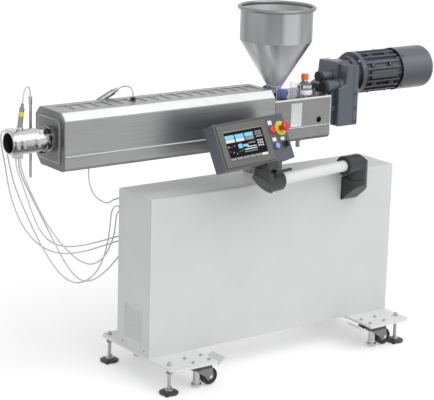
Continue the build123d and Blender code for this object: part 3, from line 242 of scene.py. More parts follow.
class Recipe(Graph):
    """Builder of one node material."""

    def __init__(self, name: str) -> None:
        """Start a material with a principled shader.

        Args:
            name: name of the material.
        """
        self.material = bpy.data.materials.new(name)
        self.material.use_nodes = True
        super().__init__(self.material.node_tree)
        self.surface = self.tree.nodes.new("ShaderNodeBsdfPrincipled")
        out = self.tree.nodes.new("ShaderNodeOutputMaterial")
        self.tree.links.new(self.surface.outputs[0], out.inputs[0])

    def place(self, scale: Point = (1.0, 1.0, 1.0)) -> Sock:
        """Return object coordinates, stretched."""
        coords = self.node("ShaderNodeTexCoord", out="Object")
        return self.node("ShaderNodeMapping", {}, {"Vector": coords, "Scale": scale})

    def axes(self) -> tuple[Sock, Sock, Sock]:
        """Return the three object coordinates one by one."""
        where = self.node("ShaderNodeTexCoord", out="Object")
        across = self.node("ShaderNodeSeparateXYZ", {}, {0: where}, "X")
        return across, across.twin("Y"), across.twin("Z")

    def noise(self, scale: float, detail: float = 3.0, stretch: Point = (1.0, 1.0, 1.0)) -> Sock:
        """Return a noise value over the surface."""
        return self.node("ShaderNodeTexNoise", {}, {
            "Vector": self.place(stretch), "Scale": scale, "Detail": detail})

    def blend(self, share: Any, first: Any, second: Any) -> Sock:
        """Mix two colours by a share."""
        return self.node("ShaderNodeMix", {"data_type": "RGBA"}, {0: share, 6: first, 7: second}, out=2)

    def vary(self, share: Any, colour: Colour, dark: float, pale: float) -> Sock:
        """Mix a darker and a paler tint of one colour by a share."""
        return self.blend(share, tint(colour, dark), tint(colour, pale))

    def bump(self, height: Any, distance: float, strength: float = 1.0) -> Sock:
        """Return a bumped normal."""
        return self.node("ShaderNodeBump", {}, {"Height": height, "Distance": distance, "Strength": strength})

    def shade(self, inputs: dict[str, Any]) -> bpy.types.Material:
        """Feed the principled shader and return the material."""
        self.feed(self.surface, inputs)
        return self.material


@dataclass(frozen=True)
class PowderCoat:
    """Sprayed and baked paint with a fine orange-peel grain.

    Where shade gives a level axis and a radius, a painted highlight runs halfway up that round, fading into
    painted shade.
    """

    name: str
    colour: Colour
    roughness: float = 0.5
    peel: float = 900.0
    depth: float = 0.00012
    dust: float = 0.06
    shade: Optional[Span] = None
    patch: float = 7.0
    # Place and fall of the painted highlight, and the tints of painted shade and painted highlight.
    highlight_at: float = 0.5
    highlight_fall: float = 1.3
    shade_and_highlight_tints: Span = (0.5, 2.1)

    def material(self) -> bpy.types.Material:
        """Return the paint as a material."""
        mix = Recipe(self.name)
        cloud = mix.noise(self.patch, 4.0)
        fine = mix.noise(self.peel, 2.0)
        base = mix.vary(cloud, self.colour, 1.0 - self.dust, 1.0 + self.dust)
        # Painted highlight halfway up the round, painted shade away from it.
        if self.shade:
            axis_z, radius = self.shade
            up = (mix.axes()[2] - axis_z) / radius
            pale = (1.0 - abs(up - self.highlight_at) * self.highlight_fall).clamped()
            dark, light = (tint(self.colour, factor) for factor in self.shade_and_highlight_tints)
            base = mix.blend(pale, dark, mix.blend(0.5, base, light))
        return mix.shade({
            "Base Color": base, "Roughness": fine.around(0.16) + cloud.around(0.1, self.roughness),
            "Normal": mix.bump(fine, self.depth, 0.5)})


@dataclass(frozen=True)
class Steel:
    """Bare metal with fine lines left by brushing or turning."""

    name: str
    colour: Colour
    grain: Grain
    roughness: float = 0.34
    streak: float = 0.22
    depth: float = 0.00005
    sheen: Point = (4.0, 4.0, 4.0)
    broad: float = 0.8

    def material(self) -> bpy.types.Material:
        """Return the metal as a material."""
        mix = Recipe(self.name)
        lines = mix.noise(1.0, 4.0, self.grain.value)
        cloud = mix.noise(1.0, 3.0, self.sheen)
        share = lines.around(1.6) + cloud.around(self.broad * 2.0, 0.5)
        return mix.shade({
            "Base Color": mix.vary(share.clamped(), self.colour, 1.0 - self.streak, 1.0 + self.streak),
            "Metallic": 1.0, "Roughness": lines.around(0.22, self.roughness),
            "Normal": mix.bump(lines, self.depth, 0.35)})


@dataclass(frozen=True)
class Moulded:
    """Moulded plastic or rubber with a faint texture."""

    name: str
    colour: Colour
    roughness: float = 0.4
    coat: float = 0.0
    glow: float = 0.0
    shine: float = 0.5
    texture: float = 1400.0
    depth: float = 0.00008
    patch: float = 30.0
    tints: Span = (0.9, 1.1)

    def material(self) -> bpy.types.Material:
        """Return the plastic as a material."""
        mix = Recipe(self.name)
        fine = mix.noise(self.texture, 2.0)
        base = mix.vary(mix.noise(self.patch), self.colour, *self.tints)
        inputs = {
            "Base Color": base, "Roughness": fine.around(0.14, self.roughness), "Coat Weight": self.coat,
            "Specular IOR Level": self.shine, "Normal": mix.bump(fine, self.depth, 0.4)}
        if self.glow:
            inputs |= {"Emission Color": base, "Emission Strength": self.glow}
        return mix.shade(inputs)


@dataclass(frozen=True)
class Axles:
    """Axles of the castors, at one distance to either side of a middle."""

    middle_x: float = 0.228
    spread_x: float = 0.475
    z: float = 0.040

    def reach(self, mix: Recipe) -> Sock:
        """Return the distance from the nearest axle."""
        x, _, z = mix.axes()
        return (abs(x - self.middle_x) - self.spread_x).reach(z - self.z)


@dataclass(frozen=True)
class TyredWheel:
    """Black tyre round a pressed hub, told apart by the distance from the axle."""

    name: str
    hub_r: float
    tyre: Colour = (0.02, 0.02, 0.021)
    hub: Colour = (0.26, 0.26, 0.265)
    tints: Span = (0.7, 1.5)
    texture: float = 1100.0
    depth: float = 0.00008

    def material(self) -> bpy.types.Material:
        """Return tyre and hub as one material for all the wheels."""
        mix = Recipe(self.name)
        tyre = Axles().reach(mix) > self.hub_r
        fine = mix.noise(self.texture, 2.0)
        return mix.shade({
            "Base Color": mix.blend(tyre, self.hub, mix.vary(fine, self.tyre, *self.tints)),
            "Metallic": (1.0 - tyre) * 0.8, "Roughness": tyre * 0.25 + fine.around(0.15, 0.35),
            "Normal": mix.bump(fine, self.depth, 0.4)})


@dataclass(frozen=True)
class CastorHead:
    """Pressed metal painted dark above a height as painted shade, plated below it and pale at the pedal lip
    or the axle's end.
    """

    name: str
    column_z: float
    axle_r: float = 0.0
    # Painted shade: the head above the column is painted dark for the shade under the base plate.
    head: Colour = (0.055, 0.055, 0.057)
    pale: Colour = (0.66, 0.67, 0.66)
    column: Colour = (0.50, 0.50, 0.50)
    lips_x: Span = (0.168, 0.397)
    tints: Span = (0.7, 1.4)
    texture: float = 900.0
    depth: float = 0.00008

    def material(self) -> bpy.types.Material:
        """Return the parts as one material for all the castors, with a lip where no axle is given."""
        mix = Recipe(self.name)
        x, _, z = mix.axes()
        if self.axle_r:
            pale = Axles().reach(mix) < self.axle_r
        else:
            pale = abs(x - self.lips_x[0]) < self.lips_x[1]
        column = z < self.column_z
        fine = mix.noise(self.texture, 2.0)
        # Painted shade above the column, plated metal below it.
        base = mix.blend(column, mix.vary(fine, self.head, *self.tints), self.column)
        return mix.shade({
            "Base Color": mix.blend(pale, base, self.pale), "Metallic": column * 0.9,
            "Roughness": fine.around(0.15, 0.36), "Normal": mix.bump(fine, self.depth, 0.4)})


@dataclass(frozen=True)
class RolledSheet:
    """Rolled and welded sheet about an upright axis, with painted highlights, a painted-light interior and
    paler towards the outlet.
    """

    name: str
    axis: Span
    wall_r: float
    outlet_r: float
    cone_z: Span
    rim_z: float
    gauge: float = 0.0011
    drum: Colour = (0.25, 0.254, 0.26)
    cone: Colour = (0.33, 0.34, 0.35)
    # Painted light: the interior is painted pale and less metallic for its lit far wall.
    lit_inside: Colour = (0.66, 0.67, 0.67)
    # Directions, start and rise of the painted highlight bands; the last tint of each is the highlight's.
    drum_sheen: Span = (-0.221, -0.975)
    cone_sheen: Span = (-0.893, -0.449)
    sheen_from: float = 0.95
    sheen_rise: float = 26.0
    drum_tints: Point = (0.75, 1.4, 2.6)
    cone_tints: Point = (0.65, 1.35, 2.3)
    foot_tint: float = 2.4
    lit_inside_tints: Span = (0.8, 1.2)
    seams: Point = (60.0, 60.0, 2.0)
    clouds: Point = (13.0, 13.0, 1.6)

    def material(self) -> bpy.types.Material:
        """Return drum, cone, rim and interior as one material."""
        mix = Recipe(self.name)
        x, y, z = mix.axes()
        east = x - self.axis[0]
        north = y - self.axis[1]
        reach = east.reach(north)
        rise = (z - self.cone_z[0]) / (self.cone_z[1] - self.cone_z[0])
        outer = rise.clamped() * (self.wall_r - self.outlet_r) + self.outlet_r
        inner = (reach < outer - self.gauge) * (z < self.rim_z)
        low = rise < 1.0
        foot = (1.0 - rise).clamped() * low
        # Painted highlights: a sheen band on the drum and a glint on the cone, set by direction round the
        # axis.
        gleam, glint = (
            (((east * way[0] + north * way[1]) / reach - self.sheen_from) * self.sheen_rise).clamped()
            for way in (self.drum_sheen, self.cone_sheen))
        lines = mix.noise(1.0, 1.0, self.seams)
        cloud = mix.noise(1.0, 1.0, self.clouds)
        share = (lines.around(0.2) + cloud.around(2.0, 0.5)).clamped()
        drum, cone = (
            mix.blend(shine, mix.vary(share, colour, *tints[:2]), tint(colour, tints[2]))
            for shine, colour, tints in ((gleam * 0.55, self.drum, self.drum_tints),
                                         (glint * 0.9, self.cone, self.cone_tints)))
        cone = mix.blend(foot * 0.9, cone, tint(self.cone, self.foot_tint))
        outside = mix.blend(z > self.rim_z, mix.blend(low, drum, cone), self.drum)
        # Painted light over the interior.
        return mix.shade({
            "Base Color": mix.blend(inner, outside, mix.vary(share, self.lit_inside, *self.lit_inside_tints)),
            "Metallic": 1.0 - inner * 0.9 - foot * (1.0 - inner) * 0.75, "Roughness": lines.around(0.1, 0.3)})


@dataclass(frozen=True)
class BrightDrum:
    """Polished drum along X, with a painted shade band below its axis, a little darker under the drum and
    near black in its bore.
    """

    name: str
    axis_z: float
    radius: float
    bore_r: float
    under_r: float
    steel: Colour = (0.57, 0.57, 0.57)
    # Colour of the painted shade band below the axis, and the near black of the bore.
    shade_band: Colour = (0.13, 0.135, 0.13)
    bore_black: Colour = (0.008, 0.008, 0.01)
    shade_band_at: float = -0.42
    tints: Span = (0.72, 1.28)
    under_tint: float = 0.75
    clouds: Point = (3.0, 26.0, 26.0)
    depth: float = 0.00005

    def material(self) -> bpy.types.Material:
        """Return drum, painted shade band and bore as one material."""
        mix = Recipe(self.name)
        _, y, z = mix.axes()
        up = z - self.axis_z
        # The bore is painted near black.
        bore = (y - MID_Y).reach(up) < self.bore_r
        lines = mix.noise(1.0, 4.0, Grain.ROUND_X.value)
        cloud = mix.noise(1.0, 3.0, self.clouds)
        share = (lines.around(1.2) + cloud.around(2.0, 0.5)).clamped()
        # Painted shade band below the axis.
        shade_band_share = ((1.0 - abs(up / self.radius - self.shade_band_at) * 2.6) * 1.6).clamped() * 0.92
        shaded_steel = mix.blend(shade_band_share, mix.vary(share, self.steel, *self.tints), self.shade_band)
        # Under the drum, plain steel a little darker.
        shaded_steel = mix.blend(up < -self.under_r, shaded_steel, tint(self.steel, self.under_tint))
        return mix.shade({
            "Base Color": mix.blend(bore, shaded_steel, self.bore_black), "Metallic": 1.0 - bore,
            "Roughness": bore * 0.5 + lines.around(0.15, 0.17), "Normal": mix.bump(lines, self.depth, 0.3)})


@dataclass(frozen=True)
class ThreadedRod:
    """Plated rod with a fine screw thread round the upright axis."""

    name: str
    colour: Colour
    pitch: float = 0.002
    band: float = 0.314
    tints: Span = (0.6, 1.15)
    depth: float = 0.0005

    def material(self) -> bpy.types.Material:
        """Return the threaded rod as a material."""
        mix = Recipe(self.name)
        wave = mix.node("ShaderNodeTexWave", {"bands_direction": "Z"}, {
            "Vector": mix.place(), "Scale": self.band / self.pitch, "Distortion": 0.0}, out="Fac")
        cloud = mix.noise(60.0, 3.0)
        return mix.shade({
            "Base Color": mix.vary(wave * 0.6 + cloud * 0.4, self.colour, *self.tints), "Metallic": 1.0,
            "Roughness": cloud.around(0.2, 0.32), "Normal": mix.bump(wave, self.depth, 0.6)})


@dataclass(frozen=True)
class Clear:
    """Clear plastic or glass with faint wipe marks."""

    name: str
    colour: Colour
    roughness: float = 0.05
    index: float = 1.45

    def material(self) -> bpy.types.Material:
        """Return the clear plastic as a material."""
        mix = Recipe(self.name)
        wipe = mix.noise(14.0, 4.0, (1.0, 1.0, 3.0))
        return mix.shade({
            "Base Color": self.colour, "Roughness": wipe.around(0.08, self.roughness),
            "Transmission Weight": 1.0, "IOR": self.index})


class Finishes:
    """Every finish of the machine, each made once."""

    RECIPES = (
        PowderCoat("cabinet_paint", (0.66, 0.67, 0.67), 0.45),
        PowderCoat("plate_paint", (0.76, 0.77, 0.77), 0.42),
        Steel("guard_steel", (0.33, 0.335, 0.335), Grain.ALONG_X, 0.36, sheen=(1.1, 3.0, 5.0)),
        Steel("end_steel", (0.18, 0.183, 0.185), Grain.UPRIGHT, 0.42, 0.2, sheen=(6.0, 6.0, 3.0)),
        Steel("housing_steel", (0.27, 0.273, 0.27), Grain.ALONG_X, 0.34),
        # Hopper with painted highlight bands and a painted-light interior.
        RolledSheet("hopper_steel", (0.222, MID_Y), 0.152, 0.026, (1.162, 1.367), 1.4955),
        Steel("turned_steel", (0.40, 0.40, 0.41), Grain.ROUND_X, 0.24),
        Steel("sensor_steel", (0.24, 0.245, 0.25), Grain.UPRIGHT, 0.25, 0.4, sheen=(40.0, 40.0, 6.0),
              broad=1.4),
        # Painted highlights on the edges of the end's raised plate.
        Steel("highlight_steel", (0.52, 0.53, 0.53), Grain.UPRIGHT, 0.3, 0.4, sheen=(3.0, 14.0, 14.0)),
        Steel("nut_steel", (0.20, 0.20, 0.205), Grain.UPRIGHT, 0.4, 0.2),
        # Die drum with a painted shade band below its axis.
        BrightDrum("bright_band", DIE_Z, 0.046, 0.0395, 0.0495),
        Steel("flange_steel", (0.40, 0.39, 0.365), Grain.ROUND_X, 0.3, 0.35, sheen=(20.0, 14.0, 14.0)),
        Steel("zinc_plate", (0.52, 0.53, 0.53), Grain.UPRIGHT, 0.3, 0.1),
        Steel("band_steel", (0.30, 0.30, 0.31), Grain.ROUND_X, 0.38),
        Steel("mesh_steel", (0.50, 0.505, 0.50), Grain.ALONG_X, 0.4),
        Steel("black_screw", (0.035, 0.035, 0.037), Grain.UPRIGHT, 0.4),
        ThreadedRod("foot_thread", (0.50, 0.50, 0.51)),
        TyredWheel("castor_wheel", 0.0180),
        # Castor heads and forks are painted dark above their columns as painted shade.
        CastorHead("castor_head", 0.0905),
        CastorHead("castor_fork", 0.077, 0.0062, column=(0.22, 0.22, 0.22)),
        PowderCoat("drive_enamel", (0.093, 0.108, 0.128), 0.3, 500.0, 0.0002, 0.1),
        # Motor and cowl: painted highlight and painted shade round the motor's axis.
        PowderCoat("motor_enamel", (0.068, 0.077, 0.090), 0.30, 500.0, 0.0002, 0.25, shade=(MOTOR_Z, COWL_R)),
        PowderCoat("cowl_enamel", (0.094, 0.107, 0.126), 0.24, 700.0, 0.0001, 0.06, shade=(MOTOR_Z, COWL_R)),
        PowderCoat("drive_screw", (0.085, 0.095, 0.11), 0.35, 500.0, 0.0001, 0.1),
        PowderCoat("elbow_paint", (0.023, 0.024, 0.026), 0.34),
        PowderCoat("tube_paint", (0.78, 0.79, 0.78), 0.35),
        PowderCoat("panel_paint", (0.088, 0.096, 0.118), 0.5),
        Moulded("black_rubber", (0.018, 0.018, 0.018), 0.7),
        Moulded("black_plastic", (0.02, 0.02, 0.022), 0.45),
        Moulded("pad_plastic", (0.05, 0.05, 0.052), 0.5),
        Moulded("bezel_grey", (0.125, 0.125, 0.112), 0.42),
        Moulded("ceramic_white", (0.80, 0.82, 0.85), 0.35),
        Moulded("sensor_yellow", (0.72, 0.70, 0.03), 0.4),
        # Painted highlights on the seam, the lid and the shield's edges.
        Moulded("highlight_white", (0.80, 0.83, 0.83), 0.25, coat=0.5),
        Moulded("blue_collar", (0.035, 0.075, 0.50), 0.4),
        Moulded("orange_cap", (0.80, 0.16, 0.03), 0.4, coat=0.3),
        Moulded("stop_red", (0.55, 0.012, 0.016), 0.3, coat=0.5),
        Moulded("lamp_red", (0.60, 0.03, 0.03), 0.25, coat=0.6, glow=0.15),
        Moulded("stop_yellow", (0.76, 0.70, 0.035), 0.45),
        Moulded("button_blue", (0.25, 0.42, 0.68), 0.35, coat=0.4),
        Moulded("cable_jacket", (0.62, 0.62, 0.62), 0.5),
        Moulded("strip_white", (0.90, 0.91, 0.91), 0.4),
        # Faint painted glow on the white liner; it is no lamp.
        Moulded("liner_glow_white", (0.90, 0.91, 0.91), 0.4, glow=0.07),
        # Painted shadow lines under the louvres.
        Moulded("shadow_grey", (0.41, 0.415, 0.42), 0.6),
        Moulded("label_white", (0.85, 0.85, 0.84), 0.5),
        Moulded("screen_black", (0.008, 0.009, 0.012), 0.2, shine=0.08),
        Moulded("tile_white", (0.62, 0.64, 0.64), 0.2, glow=0.2),
        Moulded("tile_cyan", (0.16, 0.50, 0.70), 0.2, glow=0.3),
        Moulded("tile_red", (0.55, 0.08, 0.05), 0.2, glow=0.3),
        Moulded("tile_grey", (0.26, 0.26, 0.255), 0.2, glow=0.1),
        Moulded("gap_black", (0.004, 0.004, 0.004), 0.8),
        Clear("clear_plastic", (0.93, 0.95, 0.95)),
        Clear("bottle_plastic", (0.52, 0.58, 0.62), 0.12),
    )

    def __init__(self) -> None:
        """Make the materials."""
        self.made = {recipe.name: recipe.material() for recipe in self.RECIPES}

    def dress(self, piece: bpy.types.Object, name: str) -> None:
        """Give a piece one finish.

        Args:
            piece: a mesh or curve object.
            name: name of the finish.
        """
        slots = piece.data.materials
        if len(slots) == 0:
            slots.append(self.made[name])
        for number in range(len(slots)):
            slots[number] = self.made[name]


class Pen:
    """Draws closed solids into one mesh."""

    TINY = 1e-7
    WELD = 1e-6
    SMOOTH = math.radians(35.0)

    def __init__(self) -> None:
        """Start with an empty mesh."""
        self.bm = bmesh.new()

    def slab(self, low: Point, high: Point, at: Matrix, soft: float = 0.0) -> "Pen":
        """Add a box between two corners.

        Args:
            low: lowest corner before placing.
            high: highest corner before placing.
            at: where the box goes.
            soft: width of the bevel on its edges.

        Returns:
            The pen itself.
        """
        size = [h - l for l, h in zip(low, high)]
        middle = [(h + l) / 2 for l, h in zip(low, high)]
        put = at @ Matrix.Translation(middle) @ Matrix.Diagonal((*size, 1.0))
        made = bmesh.ops.create_cube(self.bm, size=1.0, matrix=put)
        if soft:
            edges = list({e for v in made["verts"] for e in v.link_edges})
            bmesh.ops.bevel(self.bm, geom=edges, offset=soft, segments=2, affect="EDGES", profile=0.5)
        return self

    def slabs(self, boxes: Iterable[Box], at: Matrix, soft: float = 0.0) -> "Pen":
        """Add several boxes in one frame and return the pen itself."""
        for low, high in boxes:
            self.slab(low, high, at, soft)
        return self

    def lathe(self, profile: Profile, at: Matrix, steps: int) -> "Pen":
        """Spin (radius, height) points about the local Z axis.

        Args:
            profile: points from the axis and back to it, or round a ring.
            at: frame of the axis.
            steps: number of sides.

        Returns:
            The pen itself.
        """
        rings = []
        for radius, height in profile:
            turns = [2 * math.pi * number / steps for number in range(steps if radius > self.TINY else 1)]
            rings.append([
                self.bm.verts.new(at @ Vector((radius * math.cos(turn), radius * math.sin(turn), height)))
                for turn in turns])
        if len(rings[0]) > 1 and len(rings[-1]) > 1:
            rings.append(rings[0])
        for low, high in zip(rings, rings[1:]):
            for number in range(steps):
                after = (number + 1) % steps
                ends = ((low, number), (low, after), (high, after), (high, number))
                face = list(dict.fromkeys(ring[place % len(ring)] for ring, place in ends))
                if len(face) > 2:
                    self.bm.faces.new(face)
        return self

    def piece(self, name: str) -> bpy.types.Object:
        """Turn the drawing into an object.

        Args:
            name: name of the object.

        Returns:
            The object, linked to the scene.
        """
        bmesh.ops.remove_doubles(self.bm, verts=self.bm.verts, dist=self.WELD)
        bmesh.ops.recalc_face_normals(self.bm, faces=self.bm.faces)
        mesh = bpy.data.meshes.new(name)
        self.bm.to_mesh(mesh)
        self.bm.free()
        made = stand(name, mesh)
        mesh.shade_smooth()
        mesh.set_sharp_from_angle(angle=self.SMOOTH)
        return made


class NodeTree(Graph):
    """A Geometry Nodes tree built in the script, with named inputs and copies set on points."""

    def __init__(self, name: str, inputs: dict[str, str]) -> None:
        """Start a tree between a geometry input and a geometry output.

        Args:
            name: name of the tree.
            inputs: socket type for each named input besides the finish.
        """
        super().__init__(bpy.data.node_groups.new(name, "GeometryNodeTree"))
        face = self.tree.interface
        face.new_socket("Seats", in_out="INPUT", socket_type="NodeSocketGeometry")
        self.keys = {key: face.new_socket(key, in_out="INPUT", socket_type=kind).identifier
                     for key, kind in (inputs | {"Finish": "NodeSocketMaterial"}).items()}
        face.new_socket("Result", in_out="OUTPUT", socket_type="NodeSocketGeometry")
        self.seats = self.node("NodeGroupInput", out="Seats")

    def close(self, copied: Sock, **turns: Sock) -> None:
        """Set copies on the seats, make them real, give them the finish and end the tree.

        Args:
            copied: geometry to copy.
            turns: Rotation of the copies, where they are turned.
        """
        put = self.node("GeometryNodeInstanceOnPoints", {}, {
            "Points": self.seats, "Instance": copied, **turns})
        real = self.node("GeometryNodeRealizeInstances", {}, {0: put})
        paint = self.node("GeometryNodeSetMaterial", {}, {
            "Geometry": real, "Material": self.seats.twin("Finish")})
        self.feed(self.tree.nodes.new("NodeGroupOutput"), {0: paint})

    def grow(self, name: str, seats: Iterable[Seat], values: dict[str, Any]) -> bpy.types.Object:
        """Run the tree on points and turn the result into a plain mesh.

        Args:
            name: name of the piece.
            seats: place and outward direction of each copy.
            values: value for each named input.

        Returns:
            The finished object.
        """
        points, ways = zip(*seats)
        mesh = bpy.data.meshes.new(name + "_seats")
        mesh.from_pydata(points, [], [])
        attribute = mesh.attributes.new("way", "FLOAT_VECTOR", "POINT")
        for number, way in enumerate(ways):
            attribute.data[number].vector = way
        base = stand(name + "_seats", mesh)
        modifier = base.modifiers.new("grow", "NODES")
        modifier.node_group = self.tree
        for key, value in values.items():
            modifier[self.keys[key]] = value
        graph = bpy.context.evaluated_depsgraph_get()
        made = stand(name, bpy.data.meshes.new_from_object(base.evaluated_get(graph)))
        bpy.data.objects.remove(base)
        made.data.name = name
        return made


@dataclass(frozen=True)
class Screw:
    """Head, finish and slot of a socket-head screw."""

    radius: float
    height: float
    finish: str
    slot: str


class ScrewField(NodeTree):
    """Socket-head screws set on points."""

    HEAD_SIDES = 18
    SOCKET_SHARE = 0.55
    SOCKET_DEPTH = 0.6

    def __init__(self) -> None:
        """Build the tree once."""
        super().__init__("screw_field", {"Head Radius": "NodeSocketFloat", "Head Height": "NodeSocketFloat"})
        height = self.seats.twin("Head Height")
        head = self.node("GeometryNodeMeshCylinder", {}, {
            "Vertices": self.HEAD_SIDES, "Radius": self.seats.twin("Head Radius"), "Depth": height}, "Mesh")
        step = self.node("GeometryNodeExtrudeMesh", {}, {
            "Mesh": head, "Selection": head.twin("Top"), "Offset Scale": 0.0, "Individual": False}, "Mesh")
        inner = self.node("GeometryNodeScaleElements", {}, {
            "Geometry": step, "Selection": step.twin("Top"), "Scale": self.SOCKET_SHARE})
        hole = self.node("GeometryNodeExtrudeMesh", {}, {
            "Mesh": inner, "Selection": step.twin("Top"), "Offset Scale": height * -self.SOCKET_DEPTH,
            "Individual": False}, "Mesh")
        way = self.node("GeometryNodeInputNamedAttribute", {"data_type": "FLOAT_VECTOR"}, {"Name": "way"},
                        "Attribute")
        turn = self.node("FunctionNodeAlignRotationToVector", {"axis": "Z"}, {"Vector": way})
        self.close(hole, Rotation=turn)

    def piece(self, name: str, screw: Screw, seats: Iterable[Seat],
              finish: bpy.types.Material) -> bpy.types.Object:
        """Make one mesh of screws.

        Args:
            name: name of the piece.
            screw: the heads' sizes.
            seats: place and outward direction of each screw.
            finish: material of the screws.

        Returns:
            The screws as a plain mesh object.
        """
        middles = []
        for point, way in seats:
            out = Vector(way).normalized()
            middles.append((Vector(point) + out * screw.height / 2, out))
        return self.grow(name, middles, {
            "Head Radius": screw.radius, "Head Height": screw.height, "Finish": finish})


class PerforatedSheet(NodeTree):
    """Flat sheet with a round hole in each cell of a square grid."""

    HOLE_SIDES = 8
    WELD = 1e-5

    def __init__(self) -> None:
        """Build the tree once."""
        super().__init__("perforated_sheet", {
            "Cell": "NodeSocketFloat", "Hole Radius": "NodeSocketFloat", "Thickness": "NodeSocketFloat"})
        ring = self.node("GeometryNodeMeshCircle", {}, {
            "Vertices": self.HOLE_SIDES, "Radius": self.seats.twin("Hole Radius")})
        skirt = self.node("GeometryNodeExtrudeMesh", {"mode": "EDGES"}, {
            "Mesh": ring, "Offset Scale": 0.0}, "Mesh")
        where = self.node("GeometryNodeInputPosition")
        across = self.node("ShaderNodeSeparateXYZ", {}, {0: where}, "X")
        grow = self.seats.twin("Cell") * 0.5 / abs(across).most(abs(across.twin("Y")))
        square = self.node("ShaderNodeVectorMath", {"operation": "SCALE"}, {0: where, "Scale": grow})
        cell = self.node("GeometryNodeSetPosition", {}, {
            "Geometry": skirt, "Selection": skirt.twin("Top"), "Position": square})
        drop = self.node("ShaderNodeCombineXYZ", {}, {2: self.seats.twin("Thickness") * -1.0})
        under = self.node("GeometryNodeSetPosition", {}, {"Geometry": cell, "Offset": drop})
        turned = self.node("GeometryNodeFlipFaces", {}, {"Mesh": under})
        wall = self.node("GeometryNodeExtrudeMesh", {"mode": "EDGES"}, {"Mesh": ring, "Offset": drop})
        both = self.tree.nodes.new("GeometryNodeJoinGeometry")
        for made in (cell, turned, wall):
            self.feed(both, {0: made})
        self.close(Sock(self, both.outputs[0]))

    def piece(self, name: str, low: Point, high: Point, cell: float, hole: float,
              finish: bpy.types.Material) -> bpy.types.Object:
        """Make one sheet between two corners.

        Args:
            name: name of the piece.
            low: lowest corner.
            high: highest corner.
            cell: side of a cell, which the sheet's sides are whole numbers of.
            hole: radius of a hole.
            finish: material of the sheet.

        Returns:
            The sheet as a plain mesh object with closed, outward faces.
        """
        counts = [round((high[axis] - low[axis]) / cell) for axis in (0, 1)]
        seats = [((low[0] + (i + 0.5) * cell, low[1] + (j + 0.5) * cell, high[2]), UP)
                 for i in range(counts[0]) for j in range(counts[1])]
        made = self.grow(name, seats, {
            "Cell": cell, "Hole Radius": hole, "Thickness": high[2] - low[2], "Finish": finish})
        pen = bmesh.new()
        pen.from_mesh(made.data)
        bmesh.ops.remove_doubles(pen, verts=pen.verts, dist=self.WELD)
        bmesh.ops.bridge_loops(pen, edges=[edge for edge in pen.edges if edge.is_boundary])
        bmesh.ops.recalc_face_normals(pen, faces=pen.faces)
        pen.to_mesh(made.data)
        pen.free()
        return made


class SlatField(NodeTree):
    """Level slats, all of one size, set on points."""

    def __init__(self) -> None:
        """Build the tree once."""
        super().__init__("slat_field", {"Slat Size": "NodeSocketVector"})
        self.close(self.node("GeometryNodeMeshCube", {}, {"Size": self.seats.twin("Slat Size")}, "Mesh"))

    def piece(self, name: str, middles: Iterable[Point], size: Point,
              finish: bpy.types.Material) -> bpy.types.Object:
        """Make one mesh of slats from their middles and their common size."""
        return self.grow(name, [(middle, UP) for middle in middles], {"Slat Size": size, "Finish": finish})


@dataclass
class Shop:
    """What every sub-assembly needs: the frame, the finishes, screws, perforated sheet and slats."""

    frame: dict[str, Any]
    finishes: Finishes
    screws: ScrewField
    sheets: PerforatedSheet
    slats: SlatField

    def paint(self, **nodes: str) -> None:
        """Give frame nodes their finishes, by node name."""
        for node, finish in nodes.items():
            self.finishes.dress(self.frame["nodes"][node], finish)

    def keep(self, piece: bpy.types.Object, slot: str, body: Body = Body.MACHINE, node: str = "") -> None:
        """Set a dressed piece on a body and report it.

        Args:
            piece: the new object.
            slot: not used.
            body: body that it rides on.
            node: frame node that it takes the place of, if any.
        """
        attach(piece, body.value)
        if node:
            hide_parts(node)
        LOG.info("%s rides on %s", piece.name, body.value)

    def add(self, pen: Pen, name: str, finish: str, slot: str, body: Body = Body.MACHINE,
            node: str = "") -> None:
        """Turn a drawing into a dressed piece and keep it."""
        piece = pen.piece(name)
        self.finishes.dress(piece, finish)
        self.keep(piece, slot, body, node)

    def fasten(self, name: str, screw: Screw, seats: Iterable[Seat]) -> None:
        """Add a field of screws on the machine."""
        self.keep(self.screws.piece(name, screw, seats, self.finishes.made[screw.finish]), screw.slot)


